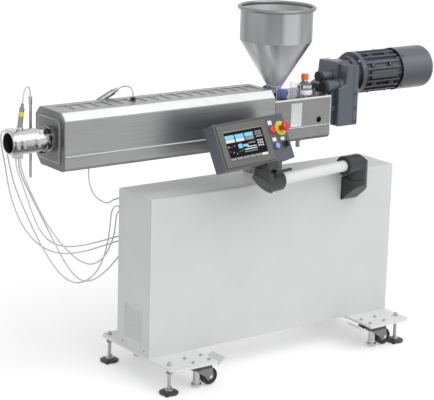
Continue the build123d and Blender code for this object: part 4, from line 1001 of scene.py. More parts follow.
@dataclass
class Undercarriage:
    """Base plates, levelling feet and castors; profiles of nuts and washer start at the plate's faces."""

    shop: Shop
    castors: Spots = ((-0.307, -0.225), (-0.307, 0.205), (0.643, -0.225), (0.643, 0.205))
    feet: Spots = ((-0.443, -0.225), (-0.443, 0.225), (0.779, -0.225), (0.779, 0.225))
    plate: Span = (0.110, 0.120)
    stem: Profile = (
        (0.0, 0.015), (0.017, 0.015), (0.017, 0.018), (0.013, 0.021), (0.0072, 0.024), (0.0072, 0.1325),
        (0.0057, 0.134), (0.0, 0.134))
    lock_nut: Profile = (
        (0.0072, 0.0), (0.013, 0.0), (0.0138, -0.001), (0.0138, -0.011), (0.0125, -0.012), (0.0072, -0.012))
    lock_h: float = 0.012
    washer: Profile = ((0.0072, 0.0), (0.0115, 0.0), (0.0115, 0.0015), (0.0072, 0.0015))
    end_nut: Profile = (
        (0.0072, 0.0015), (0.0095, 0.0015), (0.0095, 0.008), (0.0085, 0.009), (0.0072, 0.009))
    bolt: Screw = Screw(0.0065, 0.006, "zinc_plate", "zinc_steel")
    bolt_pitch: Span = (0.040, 0.030)

    def foot_screws(self) -> None:
        """Stand a threaded stem with ball end, lock nuts, washer and end nut in each foot."""
        under, top = self.plate
        stems, locks, nuts = Pen(), Pen(), Pen()
        for x, y in self.feet:
            stems.lathe(self.stem, frame_at(x, y), ROUND)
            for drop in (0.0, self.lock_h):
                locks.lathe(self.lock_nut, frame_at(x, y, under - drop), HEX)
            nuts.lathe(self.washer, frame_at(x, y, top), ROUND).lathe(self.end_nut, frame_at(x, y, top), HEX)
        self.shop.add(stems, "foot_screws", "foot_thread", "zinc_steel", node="foot_stems")
        self.shop.add(locks, "lock_nuts", "nut_steel", "zinc_steel")
        self.shop.add(nuts, "end_nuts", "zinc_plate", "zinc_steel")

    def build(self) -> None:
        """Dress the nodes and add the screws of feet and castors."""
        self.shop.paint(base_plates="plate_paint", foot_pads="pad_plastic", castor_heads="castor_head")
        for corner in ("front_left", "rear_left", "front_right", "rear_right"):
            self.shop.paint(**{
                f"castor_fork_{corner}": "castor_fork", f"castor_wheel_{corner}": "castor_wheel"})
        self.foot_screws()
        along, across = self.bolt_pitch
        self.shop.fasten("castor_bolts", self.bolt, [
            (spot(x + i * along, y + j * across, self.plate[1]), UP)
            for x, y in self.castors for i in SIDES for j in SIDES])


@dataclass
class CabinetBox:
    """Sheet cabinet with louvred end panels."""

    shop: Shop
    ends: tuple[tuple[float, int], ...] = ((-0.472, 1), (0.808, -1))
    hood_top: float = 0.311
    hood_h: float = 0.158
    hood_depth: float = 0.0035
    # Size of each painted shadow line.
    shadow_w: float = 0.126
    shadow_h: float = 0.0026
    shadow_t: float = 0.0004
    rows: int = 12
    first: float = 0.014
    pitch: float = 0.011
    step: float = 0.0016
    holes: Spots = ((0.080, 0.0037), (0.050, 0.0023))
    hole_z: float = 0.141
    hole_deep: float = 0.003
    # Thickness of the black discs of painted shade in the holes.
    shade_disc_t: float = 0.001

    def louvres(self) -> None:
        """Lay painted shadow lines under each louvre and under the hood."""
        # Painted shadow lines: one under the hood, then one under each louvre.
        shadow_lines = [(0.0, self.hood_depth - self.shadow_t / 2)]
        for row in range(self.rows):
            drop = self.first + row * self.pitch
            shadow_lines.append((drop, self.hood_depth * (1 - drop / self.hood_h) + self.step - self.shadow_t))
        middles = [spot(face + inward * deep, 0.0, self.hood_top - drop - self.shadow_h / 2)
                   for face, inward in self.ends for drop, deep in shadow_lines]
        piece = self.shop.slats.piece("louvre_shadows", middles, (self.shadow_t, self.shadow_w, self.shadow_h),
                                      self.shop.finishes.made["shadow_grey"])
        self.shop.keep(piece, "cabinet_grey")

    def hole_shades(self) -> None:
        """Set black discs deep in the screw holes at the foot of both end panels as painted shade."""
        for number, (out, radius) in enumerate(self.holes, 1):
            # Painted shade: a black disc deep in each hole.
            hole_shade_disc = Screw(radius, self.shade_disc_t, "black_screw", "dark_steel")
            self.shop.fasten(f"hole_plugs_{number}", hole_shade_disc, [
                (spot(face + inward * self.hole_deep, side * out, self.hole_z), (-inward, 0, 0))
                for face, inward in self.ends for side in SIDES])

    def build(self) -> None:
        """Dress the nodes and add the painted shadow lines and the painted shade in the screw holes."""
        self.shop.paint(cabinet="cabinet_paint", side_panels="cabinet_paint", pedestal="housing_steel",
                        cable_glands="black_plastic")
        self.louvres()
        self.hole_shades()


@dataclass
class BarrelGuard:
    """Slotted guard round the barrel."""

    shop: Shop
    x0: float = -0.865
    x1: float = 0.146
    top: float = 1.175
    top_half: float = 0.077
    half: float = 0.108
    shoulder: float = 0.032
    strip: float = 0.0012
    strip_edge: float = 0.003
    strip_soft: float = 0.0004
    wall: float = 0.003
    mesh_t: float = 0.0012
    mesh_cell: float = 0.009
    mesh_hole: float = 0.0032
    mesh_x: Span = (-0.849, 0.123)
    mesh_half: float = 0.045
    seam_z: float = 1.008
    # Lip at the seam, and thickness of the painted highlight strips.
    lip: float = 0.0025
    trim: float = 0.0007
    seam_end: float = 0.446
    raised_x: float = -0.876
    raised_half: float = 0.077
    raised_z: Span = (0.978, 1.144)
    raised_cut: float = 0.010
    frame_w: float = 0.0020

    def inner_mesh(self) -> None:
        """Hang the perforated sheet under the slots of the top."""
        under = self.top - self.wall
        sheet = self.shop.sheets.piece(
            "slot_mesh", spot(self.mesh_x[0], -self.mesh_half, under - self.mesh_t),
            spot(self.mesh_x[1], self.mesh_half, under), self.mesh_cell, self.mesh_hole,
            self.shop.finishes.made["mesh_steel"])
        self.shop.keep(sheet, "stainless")

    def seam_highlight(self) -> None:
        """Run a pale strip along the seam of guard and feed housing, on both sides, as a painted highlight on
        the lip.
        """
        out, seam = self.half + self.lip, self.seam_z
        pen = Pen()
        for side in SIDES:
            for inner, low, high in ((out, seam - self.lip, seam), (self.half, seam, seam + self.trim)):
                near, far = sorted((side * inner, side * (out + self.trim)))
                pen.slab((self.x0, near, low), (self.seam_end, far, high), frame_at(), self.trim / 4)
        self.shop.add(pen, "seam_highlight", "highlight_white", "bright_steel")

    def end_plate_highlight(self) -> None:
        """Lay pale strips on the edges of the raised plate on the end as painted highlights."""
        half, cut, (low, high) = self.raised_half, self.raised_cut, self.raised_z
        corners = [(-half, low), (half, low), (half, high - cut), (half - cut, high), (cut - half, high),
                   (-half, high - cut)]
        pen = Pen()
        for (ya, za), (yb, zb) in zip(corners, corners[1:] + corners[:1]):
            at = frame_at(self.raised_x, ya, za, math.degrees(math.atan2(zb - za, yb - ya)))
            long = math.hypot(yb - ya, zb - za)
            pen.slab((-self.trim, 0.0, -self.frame_w / 2), (0.0, long, self.frame_w / 2), at, self.trim / 4)
        self.shop.add(pen, "end_plate_highlight", "highlight_steel", "bright_steel")

    def white_strip(self) -> None:
        """Lay the white strip on the front shoulder."""
        run = math.hypot(self.half - self.top_half, self.shoulder)
        lean = math.degrees(math.atan2(self.shoulder, self.half - self.top_half))
        low = (self.x0 + self.strip_edge, -run + self.strip_edge, 0.0)
        high = (self.x1 - self.strip_edge, -self.strip_edge, self.strip)
        band = Pen().slab(low, high, frame_at(0.0, -self.top_half, self.top, lean), self.strip_soft)
        self.shop.add(band, "white_strip", "strip_white", "stainless")

    def build(self) -> None:
        """Dress the nodes and add mesh, painted highlight strips and the white strip."""
        self.shop.paint(guard_cover="guard_steel", guard_tray="guard_steel", guard_end_plate="end_steel",
                        barrel="band_steel", guard_sensor="sensor_steel")
        self.inner_mesh()
        self.seam_highlight()
        self.end_plate_highlight()
        self.white_strip()


@dataclass
class DieHead:
    """Die, heater band and melt sensor.

    The neck's profile runs along X. A toggle is given by its angle, its two ends along X and its width.
    """

    shop: Shop
    lugs: tuple[float, ...] = (-1.039, -1.012, -0.950)
    lug_face: float = -0.0575
    lug_screw: float = 0.009
    screw: Screw = Screw(0.0048, 0.005, "zinc_plate", "zinc_steel")
    neck: Profile = (
        (0.036, -0.906), (0.0475, -0.906), (0.049, -0.9045), (0.049, -0.8955), (0.0475, -0.894),
        (0.042, -0.894), (0.042, -0.888), (0.0485, -0.886), (0.050, -0.8845), (0.050, -0.876),
        (0.036, -0.876))
    neck_sides: int = 64
    toggles: tuple[Quad, ...] = (
        (47.0, -0.912, -0.888, 0.018), (14.0, -0.898, -0.892, 0.020), (-12.0, -0.906, -0.902, 0.016),
        (-28.0, -0.899, -0.892, 0.018), (150.0, -0.912, -0.888, 0.018), (262.0, -0.912, -0.888, 0.018))
    toggle_r: Span = (0.047, 0.0545)
    toggle_soft: float = 0.0012
    rod_at: Span = (-0.920, 0.062)
    rod: Profile = (
        (0.0, 0.900), (0.0048, 0.900), (0.0058, 0.901), (0.0058, 1.188), (0.0074, 1.192), (0.0074, 1.220),
        (0.0058, 1.222), (0.0, 1.222))
    rod_sides: int = 32
    clip: Box = ((0.00464, -0.0025, 1.049), (0.050, 0.0025, 1.075))
    clip_soft: float = 0.0008
    terminal_x: float = -0.9265
    terminal_turn: float = 42.0
    terminal: Profile = (
        (0.0, 0.045), (0.008, 0.045), (0.008, 0.052), (0.0055, 0.054), (0.0055, 0.058), (0.0045, 0.059),
        (0.0, 0.059))
    sensor_foot: Point = (-1.002, 0.0, 1.120)
    sensor_lean: float = 8.0
    sensor_band: Profile = (
        (0.0096, 0.042), (0.0102, 0.042), (0.0104, 0.0423), (0.0104, 0.0577), (0.0102, 0.058),
        (0.0096, 0.058))
    band_sides: int = 40

    def clamp(self) -> None:
        """Turn the neck behind the die and set the toggles round its ring."""
        neck = Pen().lathe(self.neck, frame_at(z=DIE_Z, turn=90.0, axis="Y"), self.neck_sides)
        self.shop.add(neck, "die_neck", "flange_steel", "stainless", node="die_flange")
        pen = Pen()
        inner, outer = self.toggle_r
        for angle, x0, x1, wide in self.toggles:
            at = frame_at(z=DIE_Z, turn=-angle)
            pen.slab((x0, -outer, -wide / 2), (x1, -inner, wide / 2), at, self.toggle_soft)
        self.shop.add(pen, "ring_toggles", "black_screw", "dark_steel")

    def conduit(self) -> None:
        """Hang the conduit rod with its sleeve and clip beside the die."""
        at = frame_at(*self.rod_at)
        pen = Pen().lathe(self.rod, at, self.rod_sides).slab(*self.clip, at, self.clip_soft)
        self.shop.add(pen, "conduit_tube", "turned_steel", "stainless", node="conduit_rod")

    def bolts(self) -> None:
        """Set the clamp screws of the band."""
        self.shop.fasten("band_screws", self.screw, [
            (spot(x, self.lug_face, DIE_Z + side * self.lug_screw), (0, -1, 0))
            for x in self.lugs for side in SIDES])

    def trim(self) -> None:
        """Add the white terminal on the die and the yellow band on the sensor."""
        pen = Pen().lathe(self.terminal, frame_at(self.terminal_x, 0.0, DIE_Z, self.terminal_turn), ROUND)
        self.shop.add(pen, "ceramic_terminal", "ceramic_white", "tube_white")
        at = frame_at(*self.sensor_foot, self.sensor_lean, "Y")
        pen = Pen().lathe(self.sensor_band, at, self.band_sides)
        self.shop.add(pen, "sensor_band", "sensor_yellow", "yellow_plastic")

    def build(self) -> None:
        """Dress the nodes and add the small parts."""
        self.shop.paint(die_head="bright_band", heater_band="bright_band", melt_sensor="sensor_steel")
        self.clamp()
        self.conduit()
        self.bolts()
        self.trim()


@dataclass
class FeedSection:
    """Feed housing, hopper and what stands on the lid."""

    shop: Shop
    window_x: Span = (0.233, 0.289)
    window_y: Span = (-0.108, -0.046)
    window_z: Span = (1.012, 1.111)
    liner: float = 0.0007
    lid_top: float = 1.130
    lid_spots: Spots = (
        (0.160, 0.094), (0.300, 0.094), (0.432, 0.094), (0.432, -0.094), (0.318, -0.094), (0.160, -0.098))
    lid_screw: Screw = Screw(0.005, 0.004, "zinc_plate", "zinc_steel")
    lid_cut: float = 0.002
    lid_lip: float = 0.0045
    # Thickness of the painted highlight strips on the lid, and width of the one up the housing's end.
    trim: float = 0.0006
    end_w: float = 0.003
    housing_x: Span = (0.146, 0.446)
    housing_half: float = 0.108
    housing_low: float = 0.964
    joint_w: float = 0.0016
    shield_x: Span = (0.166, 0.298)
    shield_y: Span = (-0.084, -0.020)
    shield_top: float = 1.184
    shield_t: float = 0.005
    # Thickness of the painted highlights on the shield's edges.
    edge: float = 0.0012
    bottle: Span = (0.334, -0.064)
    label: Profile = (
        (0.0306, 1.137), (0.0312, 1.137), (0.0314, 1.1373), (0.0314, 1.1577), (0.0312, 1.158),
        (0.0306, 1.158))
    label_sides: int = 48

    def window_liner(self) -> None:
        """Line the window's recess with white sheet that carries a faint painted glow."""
        (x0, x1), (y0, y1), (z0, z1), t = self.window_x, self.window_y, self.window_z, self.liner
        pen = Pen().slabs((
            ((x0, y0, z0), (x0 + t, y1, z1)), ((x1 - t, y0, z0), (x1, y1, z1)),
            ((x0 + t, y0, z0), (x1 - t, y1, z0 + t)), ((x0 + t, y0, z1 - t), (x1 - t, y1, z1)),
            ((x0 + t, y1 - t, z0 + t), (x1 - t, y1, z1 - t))), frame_at())
        self.shop.add(pen, "window_liner", "liner_glow_white", "tube_white")

    def lid_highlight(self) -> None:
        """Run painted highlight strips along the front of the lid and up the housing's end, and darken the
        joint.
        """
        (x0, x1), low, half = self.housing_x, self.housing_low, self.housing_half
        t, cut = self.trim, self.lid_cut
        fold = self.lid_top - cut
        lip = fold - self.lid_lip
        pen = Pen().slab((x0, -half - t, lip), (x1, -half, fold), frame_at(), t / 4)
        pen.slab((x0, 0.0, 0.0), (x1, cut * math.sqrt(2), t), frame_at(0.0, -half, fold, 45.0), t / 4)
        pen.slab((x1 - self.end_w, -half - t, low), (x1, -half, lip), frame_at(), t / 4)
        self.shop.add(pen, "lid_highlight", "highlight_white", "bright_steel")
        pen = Pen().slabs((
            ((x0, -half - t / 2, low), (x0 + self.joint_w, -half, lip)),
            ((x0, half, low), (x0 + self.joint_w, half + t / 2, fold))), frame_at(), t / 8)
        self.shop.add(pen, "housing_joint", "black_screw", "dark_steel")

    def bottle_label(self) -> None:
        """Wrap a bare label round the bottle."""
        pen = Pen().lathe(self.label, frame_at(*self.bottle), self.label_sides)
        self.shop.add(pen, "bottle_label", "label_white", "tube_white")

    def shield_highlights(self) -> None:
        """Lay painted highlights on the edges of the clear shield."""
        (x0, x1), (y0, y1), top = self.shield_x, self.shield_y, self.shield_top
        t, e = self.shield_t, self.edge
        boxes = [((x0, y0, top), (x1, y0 + t, top + e)), ((x0, y0 + t, top), (x0 + t, y1, top + e)),
                 ((x1 - t, y0 + t, top), (x1, y1, top + e))]
        for x in (x0, x1 - t):
            boxes.append(((x, y1, self.lid_top), (x + t, y1 + e, top + e)))
            boxes.append(((x + t / 3, y0 - e, self.lid_top), (x + t * 2 / 3, y0, top + e)))
        self.shop.add(Pen().slabs(boxes, frame_at(), e / 4), "shield_highlights", "highlight_white", "clear_plastic")

    def build(self) -> None:
        """Dress the nodes and add liner, painted highlights on lid and shield, label and lid screws."""
        self.shop.paint(feed_housing="housing_steel", feed_lid="housing_steel", hopper="hopper_steel",
                        throat_collar="blue_collar", clear_shield="clear_plastic",
                        sample_bottle="bottle_plastic", bottle_cap="orange_cap")
        self.window_liner()
        self.lid_highlight()
        self.bottle_label()
        self.shield_highlights()
        self.shop.fasten("lid_screws", self.lid_screw, [
            (spot(x, y, self.lid_top), UP) for x, y in self.lid_spots])


@dataclass
class Drive:
    """Gearbox and motor."""

    shop: Shop
    gear_half: float = 0.100
    gear_x: float = 0.592
    gear_z: tuple[float, ...] = (1.000, 1.060, 1.120)
    case_screw: Screw = Screw(0.006, 0.004, "drive_screw", "drive_blue")
    flange_x: float = 0.638
    flange_r: float = 0.085
    flange_bolt: Screw = Screw(0.0065, 0.006, "zinc_plate", "zinc_steel")
    cowl_x: float = 0.884
    cowl_screw: Screw = Screw(0.005, 0.003, "drive_screw", "drive_blue")
    box_x: Span = (0.713, 0.809)
    box_z: Span = (1.148, 1.236)
    box_face: float = 0.149
    box_screw: Screw = Screw(0.004, 0.003, "zinc_plate", "zinc_steel")
    boss_x: Span = (0.708, 0.806)
    boss_turns: tuple[float, ...] = (27.0, 63.0, 117.0, 153.0, -27.0, -153.0)
    boss_r: Span = (0.074, 0.0922)
    boss_half: Span = (0.011, 0.008)
    boss_soft: float = 0.002
    boss_screw: Screw = Screw(0.0045, 0.003, "black_plastic", "dark_steel")

    def fin_bosses(self) -> None:
        """Cast bosses between the fins, each with its screw."""
        pen = Pen()
        seats = []
        (along, wide), (low, high) = self.boss_half, self.boss_r
        for turn in self.boss_turns:
            for x in self.boss_x:
                at = frame_at(x, 0.0, MOTOR_Z, turn)
                pen.slab((-along, -wide, low), (along, wide, high), at, self.boss_soft)
                seats.append((at @ Vector((0, 0, high)), at.to_3x3() @ Vector(UP)))
        self.shop.add(pen, "fin_bosses", "motor_enamel", "drive_blue")
        self.shop.fasten("boss_screws", self.boss_screw, seats)

    def screws(self) -> None:
        """Set the screws of case, flange, cowl and terminal box."""
        turns = [math.radians(45 + 90 * number) for number in range(4)]
        rays = [(math.cos(turn), math.sin(turn)) for turn in turns]
        self.shop.fasten("case_screws", self.case_screw, [
            (spot(self.gear_x, side * self.gear_half, z), (0, side, 0))
            for side in SIDES for z in self.gear_z])
        self.shop.fasten("flange_bolts", self.flange_bolt, [
            (spot(self.flange_x, self.flange_r * y, MOTOR_Z + self.flange_r * z), (-1, 0, 0))
            for y, z in rays])
        self.shop.fasten("cowl_screws", self.cowl_screw, [
            (spot(self.cowl_x, COWL_R * y, MOTOR_Z + COWL_R * z), (0, y, z)) for y, z in rays])
        self.shop.fasten("terminal_screws", self.box_screw, [
            (spot(x, self.box_face, z), (0, 1, 0)) for x in self.box_x for z in self.box_z])

    def build(self) -> None:
        """Dress the nodes and set the screws."""
        self.shop.paint(gearbox="drive_enamel", motor_body="motor_enamel", fan_cowl="cowl_enamel",
                        terminal_box="drive_enamel", rubber_buffers="black_rubber")
        self.fin_bosses()
        self.screws()


@dataclass
class SwingArm:
    """Elbows and tube that carry the panel."""

    shop: Shop

    def build(self) -> None:
        """Dress the nodes."""
        self.shop.paint(wall_elbow="elbow_paint", arm_elbow="elbow_paint", arm_tube="tube_paint",
                        end_elbow="elbow_paint", clamp_lever="black_plastic")


@dataclass
class OperatorPanel:
    """Tilted panel with screen and controls.

    Screen and bezel are given by left edge, top, width and height on the panel's face, and labels by
    middle, width and height. Tiles are shares of the screen's width and height from its top left.
    """

    shop: Shop
    middle: Point = (-0.09432, -0.28475, 1.02027)
    yaw: float = 8.9
    tilt: float = 26.2
    screen: Quad = (-0.156, 0.059, 0.216, 0.121)
    screen_face: float = 0.0015
    tile_t: float = 0.0003
    tile_soft: float = 0.0001
    tiles: tuple[tuple[str, tuple[Quad, ...]], ...] = (
        ("tile_cyan", (
            (0.01, 0.14, 0.23, 0.13), (0.27, 0.14, 0.22, 0.13), (0.52, 0.14, 0.22, 0.13),
            (0.29, 0.47, 0.10, 0.15), (0.41, 0.51, 0.14, 0.08))),
        ("tile_grey", (
            (0.00, 0.00, 1.00, 0.035), (0.52, 0.28, 0.22, 0.11), (0.79, 0.14, 0.17, 0.05),
            (0.79, 0.22, 0.17, 0.05), (0.80, 0.30, 0.17, 0.05), (0.57, 0.47, 0.17, 0.04),
            (0.42, 0.75, 0.33, 0.03), (0.18, 0.49, 0.03, 0.04), (0.12, 0.70, 0.03, 0.04),
            (0.34, 0.68, 0.03, 0.04), *((0.01 + 0.164 * i, 0.90, 0.15, 0.085) for i in range(5)))),
        ("tile_red", ((0.11, 0.52, 0.02, 0.03), (0.04, 0.66, 0.02, 0.03), (0.28, 0.71, 0.02, 0.03))),
        ("tile_white", (
            (0.01, 0.28, 0.23, 0.11), (0.27, 0.28, 0.22, 0.11), (0.50, 0.60, 0.25, 0.03),
            (0.42, 0.67, 0.33, 0.035), (0.03, 0.50, 0.03, 0.04), (0.20, 0.76, 0.02, 0.03),
            *((0.80 + 0.055 * i, 0.44 + 0.085 * j, 0.035, 0.05) for i in range(3) for j in range(3)),
            (0.83, 0.90, 0.16, 0.085))),
    )
    bezel: Quad = (-0.186, 0.086, 0.274, 0.172)
    gasket: Span = (0.0016, 0.0006)
    labels: tuple[Quad, ...] = (
        (0.115, 0.063, 0.022, 0.018), (0.115, -0.007, 0.022, 0.016), (0.162, -0.009, 0.022, 0.014))
    label_t: float = 0.0008
    label_soft: float = 0.0003

    def frame(self) -> Matrix:
        """Return the panel's frame: X across, Y inwards, Z up the face."""
        return frame_at(*self.middle, self.yaw, "Z") @ Matrix.Rotation(math.radians(-self.tilt), 4, "X")

    def light_screen(self, at: Matrix) -> None:
        """Lay the lit tiles on the screen, one piece for each finish."""
        left, top, width, height = self.screen
        front = -self.screen_face
        for number, (finish, tiles) in enumerate(self.tiles, 1):
            pen = Pen()
            for across, down, wide, tall in tiles:
                x, z = left + across * width, top - down * height
                low = (x, front - self.tile_t, z - tall * height)
                pen.slab(low, (x + wide * width, front, z), at, self.tile_soft)
            self.shop.add(pen, f"screen_tiles_{number}", finish, "screen_glass", Body.PANEL)

    def seal_bezel(self, at: Matrix) -> None:
        """Lay the black gasket round the bezel."""
        left, top, width, height = self.bezel
        right, foot, (g, t) = left + width, top - height, self.gasket
        pen = Pen().slabs((
            ((left - g, -t, foot - g), (left, 0.0, top + g)),
            ((right, -t, foot - g), (right + g, 0.0, top + g)),
            ((left, -t, top), (right, 0.0, top + g)), ((left, -t, foot - g), (right, 0.0, foot))), at)
        self.shop.add(pen, "bezel_gasket", "gap_black", "black_rubber", Body.PANEL)

    def build(self) -> None:
        """Dress the nodes and add the screen's tiles, the gasket and the bare label plates."""
        self.shop.paint(panel_coupling="elbow_paint", panel_case="panel_paint", screen_bezel="bezel_grey",
                        touch_screen="screen_black", red_lamp="lamp_red", stop_ring="stop_yellow",
                        stop_button="stop_red", blue_button="button_blue", selector_knob="black_plastic")
        at = self.frame()
        self.light_screen(at)
        self.seal_bezel(at)
        boxes = [((x - wide / 2, -self.label_t, z - tall / 2), (x + wide / 2, 0.0, z + tall / 2))
                 for x, z, wide, tall in self.labels]
        plates = Pen().slabs(boxes, at, self.label_soft)
        self.shop.add(plates, "label_plates", "label_white", "tube_white", Body.PANEL)


@dataclass(frozen=True)
class Route:
    """A lead's length and its chosen points."""

    node: str
    length: float
    points: tuple[Point, ...]


@dataclass
class Leads:
    """Leads that hang free."""

    shop: Shop
    diameter: float = 0.006
    routes: tuple[Route, ...] = (
        Route("heater_lead_a", 0.927, (
            (-1.019, 0, 1), (-1.019, 0, 0.978), (-1.009, 0.004, 0.946), (-0.987, 0.013, 0.9),
            (-0.955, 0.029, 0.832), (-0.922, 0.044, 0.758), (-0.884, 0.062, 0.688), (-0.832, 0.086, 0.629),
            (-0.766, 0.114, 0.588), (-0.692, 0.142, 0.564), (-0.615, 0.166, 0.553), (-0.54, 0.183, 0.551),
            (-0.489, 0.19, 0.553), (-0.455, 0.192, 0.556), (-0.425, 0.192, 0.559), (-0.408, 0.182, 0.561),
            (-0.398, 0.165, 0.562), (-0.398, 0.145, 0.562))),
        Route("heater_lead_b", 1.070, (
            (-1.003, -0.008, 1), (-1.003, -0.008, 0.978), (-0.992, 0, 0.948), (-0.971, 0.01, 0.905),
            (-0.937, 0.021, 0.841), (-0.898, 0.033, 0.773), (-0.856, 0.046, 0.708), (-0.809, 0.062, 0.646),
            (-0.757, 0.082, 0.59), (-0.702, 0.104, 0.538), (-0.642, 0.129, 0.494), (-0.574, 0.157, 0.465),
            (-0.502, 0.184, 0.476), (-0.455, 0.2, 0.529), (-0.437, 0.205, 0.575), (-0.433, 0.206, 0.607),
            (-0.429, 0.206, 0.645), (-0.427, 0.193, 0.667), (-0.426, 0.171, 0.68), (-0.426, 0.145, 0.68))),
        Route("heater_lead_c", 1.049, (
            (-1.003, 0.008, 1), (-1.003, 0.008, 0.978), (-0.996, 0.011, 0.946), (-0.975, 0.019, 0.902),
            (-0.938, 0.033, 0.84), (-0.898, 0.046, 0.773), (-0.858, 0.058, 0.705), (-0.818, 0.071, 0.639),
            (-0.777, 0.086, 0.573), (-0.734, 0.103, 0.508), (-0.685, 0.122, 0.449), (-0.625, 0.144, 0.404),
            (-0.551, 0.168, 0.396), (-0.485, 0.184, 0.423), (-0.445, 0.19, 0.452), (-0.421, 0.192, 0.474),
            (-0.398, 0.192, 0.494), (-0.386, 0.182, 0.505), (-0.378, 0.165, 0.512), (-0.378, 0.145, 0.512))),
        Route("probe_lead_a", 1.113, (
            (-1.022, 0.06, 1.094), (-1.022, 0.08, 1.094), (-1.024, 0.097, 1.086), (-1.026, 0.107, 1.068),
            (-1.023, 0.109, 1.037), (-1.017, 0.109, 1.003), (-1.008, 0.107, 0.954), (-0.998, 0.104, 0.883),
            (-0.981, 0.103, 0.808), (-0.952, 0.103, 0.732), (-0.912, 0.107, 0.665), (-0.859, 0.114, 0.608),
            (-0.795, 0.126, 0.565), (-0.723, 0.142, 0.539), (-0.648, 0.16, 0.528), (-0.571, 0.175, 0.526),
            (-0.499, 0.186, 0.531), (-0.451, 0.191, 0.536), (-0.419, 0.192, 0.539), (-0.389, 0.192, 0.542),
            (-0.372, 0.182, 0.544), (-0.362, 0.165, 0.545), (-0.362, 0.145, 0.545))),
        Route("probe_lead_b", 1.310, (
            (-1.008, 0.06, 1.094), (-1.008, 0.08, 1.094), (-1.009, 0.097, 1.084), (-1.009, 0.107, 1.067),
            (-1.005, 0.108, 1.037), (-0.999, 0.107, 1.003), (-0.989, 0.107, 0.953), (-0.972, 0.106, 0.881),
            (-0.945, 0.104, 0.806), (-0.912, 0.102, 0.732), (-0.877, 0.103, 0.659), (-0.839, 0.107, 0.589),
            (-0.796, 0.115, 0.523), (-0.746, 0.128, 0.461), (-0.686, 0.145, 0.412), (-0.613, 0.166, 0.391),
            (-0.54, 0.186, 0.413), (-0.492, 0.199, 0.474), (-0.469, 0.204, 0.545), (-0.461, 0.205, 0.594),
            (-0.457, 0.206, 0.627), (-0.453, 0.206, 0.665), (-0.451, 0.193, 0.687), (-0.45, 0.171, 0.7),
            (-0.45, 0.145, 0.7))),
        Route("tray_lead", 0.509, (
            (-0.712, -0.03, 0.934), (-0.712, -0.03, 0.914), (-0.706, -0.023, 0.881), (-0.684, -0.001, 0.84),
            (-0.639, 0.042, 0.795), (-0.583, 0.089, 0.757), (-0.526, 0.132, 0.728), (-0.49, 0.165, 0.719),
            (-0.463, 0.186, 0.72), (-0.436, 0.192, 0.723), (-0.42, 0.182, 0.725), (-0.41, 0.165, 0.726),
            (-0.41, 0.145, 0.726))),
        Route("melt_lead", 0.151, (
            (-0.98947, 0, 1.2091), (-0.98753, 0, 1.223), (-0.9804, 0.0064, 1.2467),
            (-0.9658, 0.0194, 1.263), (-0.9469, 0.0363, 1.2665), (-0.9297, 0.0516, 1.2556),
            (-0.92, 0.062, 1.234), (-0.92, 0.062, 1.222))),
        Route("guard_lead", 0.123, (
            (-0.50695, 0.088, 1.207), (-0.49424, 0.088, 1.2129), (-0.481, 0.077, 1.219),
            (-0.475, 0.057, 1.221), (-0.478, 0.036, 1.221), (-0.482, 0.018, 1.215), (-0.484, 0.0075, 1.201),
            (-0.484, 0.0075, 1.187))),
    )

    def build(self) -> None:
        """Hang every lead along its route."""
        for route in self.routes:
            curve = bpy.data.curves.new(route.node + "_line", "CURVE")
            curve.dimensions = "3D"
            line = curve.splines.new("NURBS")
            line.points.add(len(route.points) - 1)
            for control, point in zip(line.points, route.points):
                control.co = (*spot(*point), 1.0)
            line.order_u = 3
            line.use_endpoint_u = True
            line.resolution_u = 8
            curve.bevel_depth = self.diameter / 2
            curve.bevel_resolution = 3
            curve.use_fill_caps = True
            piece = stand(route.node + "_line", curve)
            self.shop.finishes.dress(piece, "cable_jacket")
            self.shop.keep(piece, "cable_jacket", node=route.node)
            spot(*route.points[0])


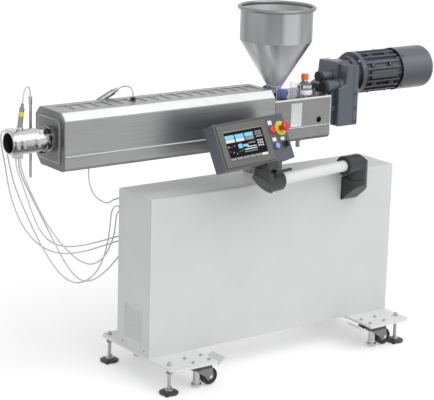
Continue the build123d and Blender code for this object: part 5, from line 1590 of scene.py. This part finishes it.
@dataclass
class Studio:
    """Camera, pale floor and soft light."""

    eye: Point = (-4.0503, -5.4300, 2.4533)
    turns: tuple[tuple[float, str], ...] = ((-36.300, "Z"), (90.0 - 14.501, "X"), (1.577, "Z"))
    lens: float = 137.79
    sensor: float = 36.0
    far: float = 200.0
    floor_r: float = 60.0
    floor_sides: int = 96
    floor_z: float = -0.0005
    floor_seen: float = 0.76
    floor_lit: float = 0.93
    lift: float = 0.37
    sky: float = 0.62
    sun: float = 1.3
    sun_from: Point = (0.15, -0.75, 0.85)
    sun_spread: float = math.radians(60.0)

    def camera(self) -> None:
        """Set the camera at the photograph's place, turned by yaw, pitch and roll."""
        data = bpy.data.cameras.new("camera")
        data.lens = self.lens
        data.sensor_width = self.sensor
        data.clip_end = self.far
        eye = stand("camera", data)
        at = frame_at(*self.eye)
        for turn, axis in self.turns:
            at = at @ Matrix.Rotation(math.radians(turn), 4, axis)
        eye.matrix_world = at
        bpy.context.scene.camera = eye

    def floor(self) -> None:
        """Lay the pale floor."""
        pen = bmesh.new()
        bmesh.ops.create_circle(pen, cap_ends=True, radius=self.floor_r, segments=self.floor_sides)
        mesh = bpy.data.meshes.new("floor")
        pen.to_mesh(mesh)
        pen.free()
        floor = stand("floor", mesh)
        floor.location = (0.0, 0.0, self.floor_z)
        paint = Recipe("floor_paint")
        seen = paint.seen()
        mesh.materials.append(paint.shade({
            "Base Color": paint.blend(seen, (self.floor_lit,) * 3, (self.floor_seen,) * 3), "Roughness": 0.9,
            "Specular IOR Level": 0.0, "Emission Color": paint.blend(seen, (0.0,) * 3, (self.lift,) * 3),
            "Emission Strength": 1.0}))

    def light(self) -> None:
        """Add one broad lamp and an even sky, which lights the machine less than it shows."""
        lamp = bpy.data.lights.new("soft_key", "SUN")
        lamp.energy = self.sun
        lamp.angle = self.sun_spread
        key = stand("soft_key", lamp)
        key.rotation_mode = "QUATERNION"
        key.rotation_quaternion = Vector(self.sun_from).to_track_quat("Z", "Y")
        world = bpy.data.worlds.new("sky")
        world.use_nodes = True
        sky = Graph(world.node_tree)
        glow = sky.node("ShaderNodeBackground", {}, {
            "Color": (1.0, 1.0, 1.0), "Strength": sky.seen() * (1.0 - self.sky) + self.sky})
        sky.feed(sky.tree.nodes.new("ShaderNodeOutputWorld"), {0: glow})
        bpy.context.scene.world = world

    def build(self) -> None:
        """Set up the studio."""
        bpy.context.scene.view_settings.view_transform = "Standard"
        self.camera()
        self.floor()
        self.light()


def main() -> None:
    """Build the machine and its studio."""
    logging.basicConfig(level=logging.INFO, format="%(name)s: %(message)s")
    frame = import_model()
    shop = Shop(frame, Finishes(), ScrewField(), PerforatedSheet(), SlatField())
    for part in (Undercarriage, CabinetBox, BarrelGuard, DieHead, FeedSection, Drive, SwingArm, OperatorPanel,
                 Leads):
        part(shop).build()
    Studio().build()


if __name__ == "__main__":
    main()
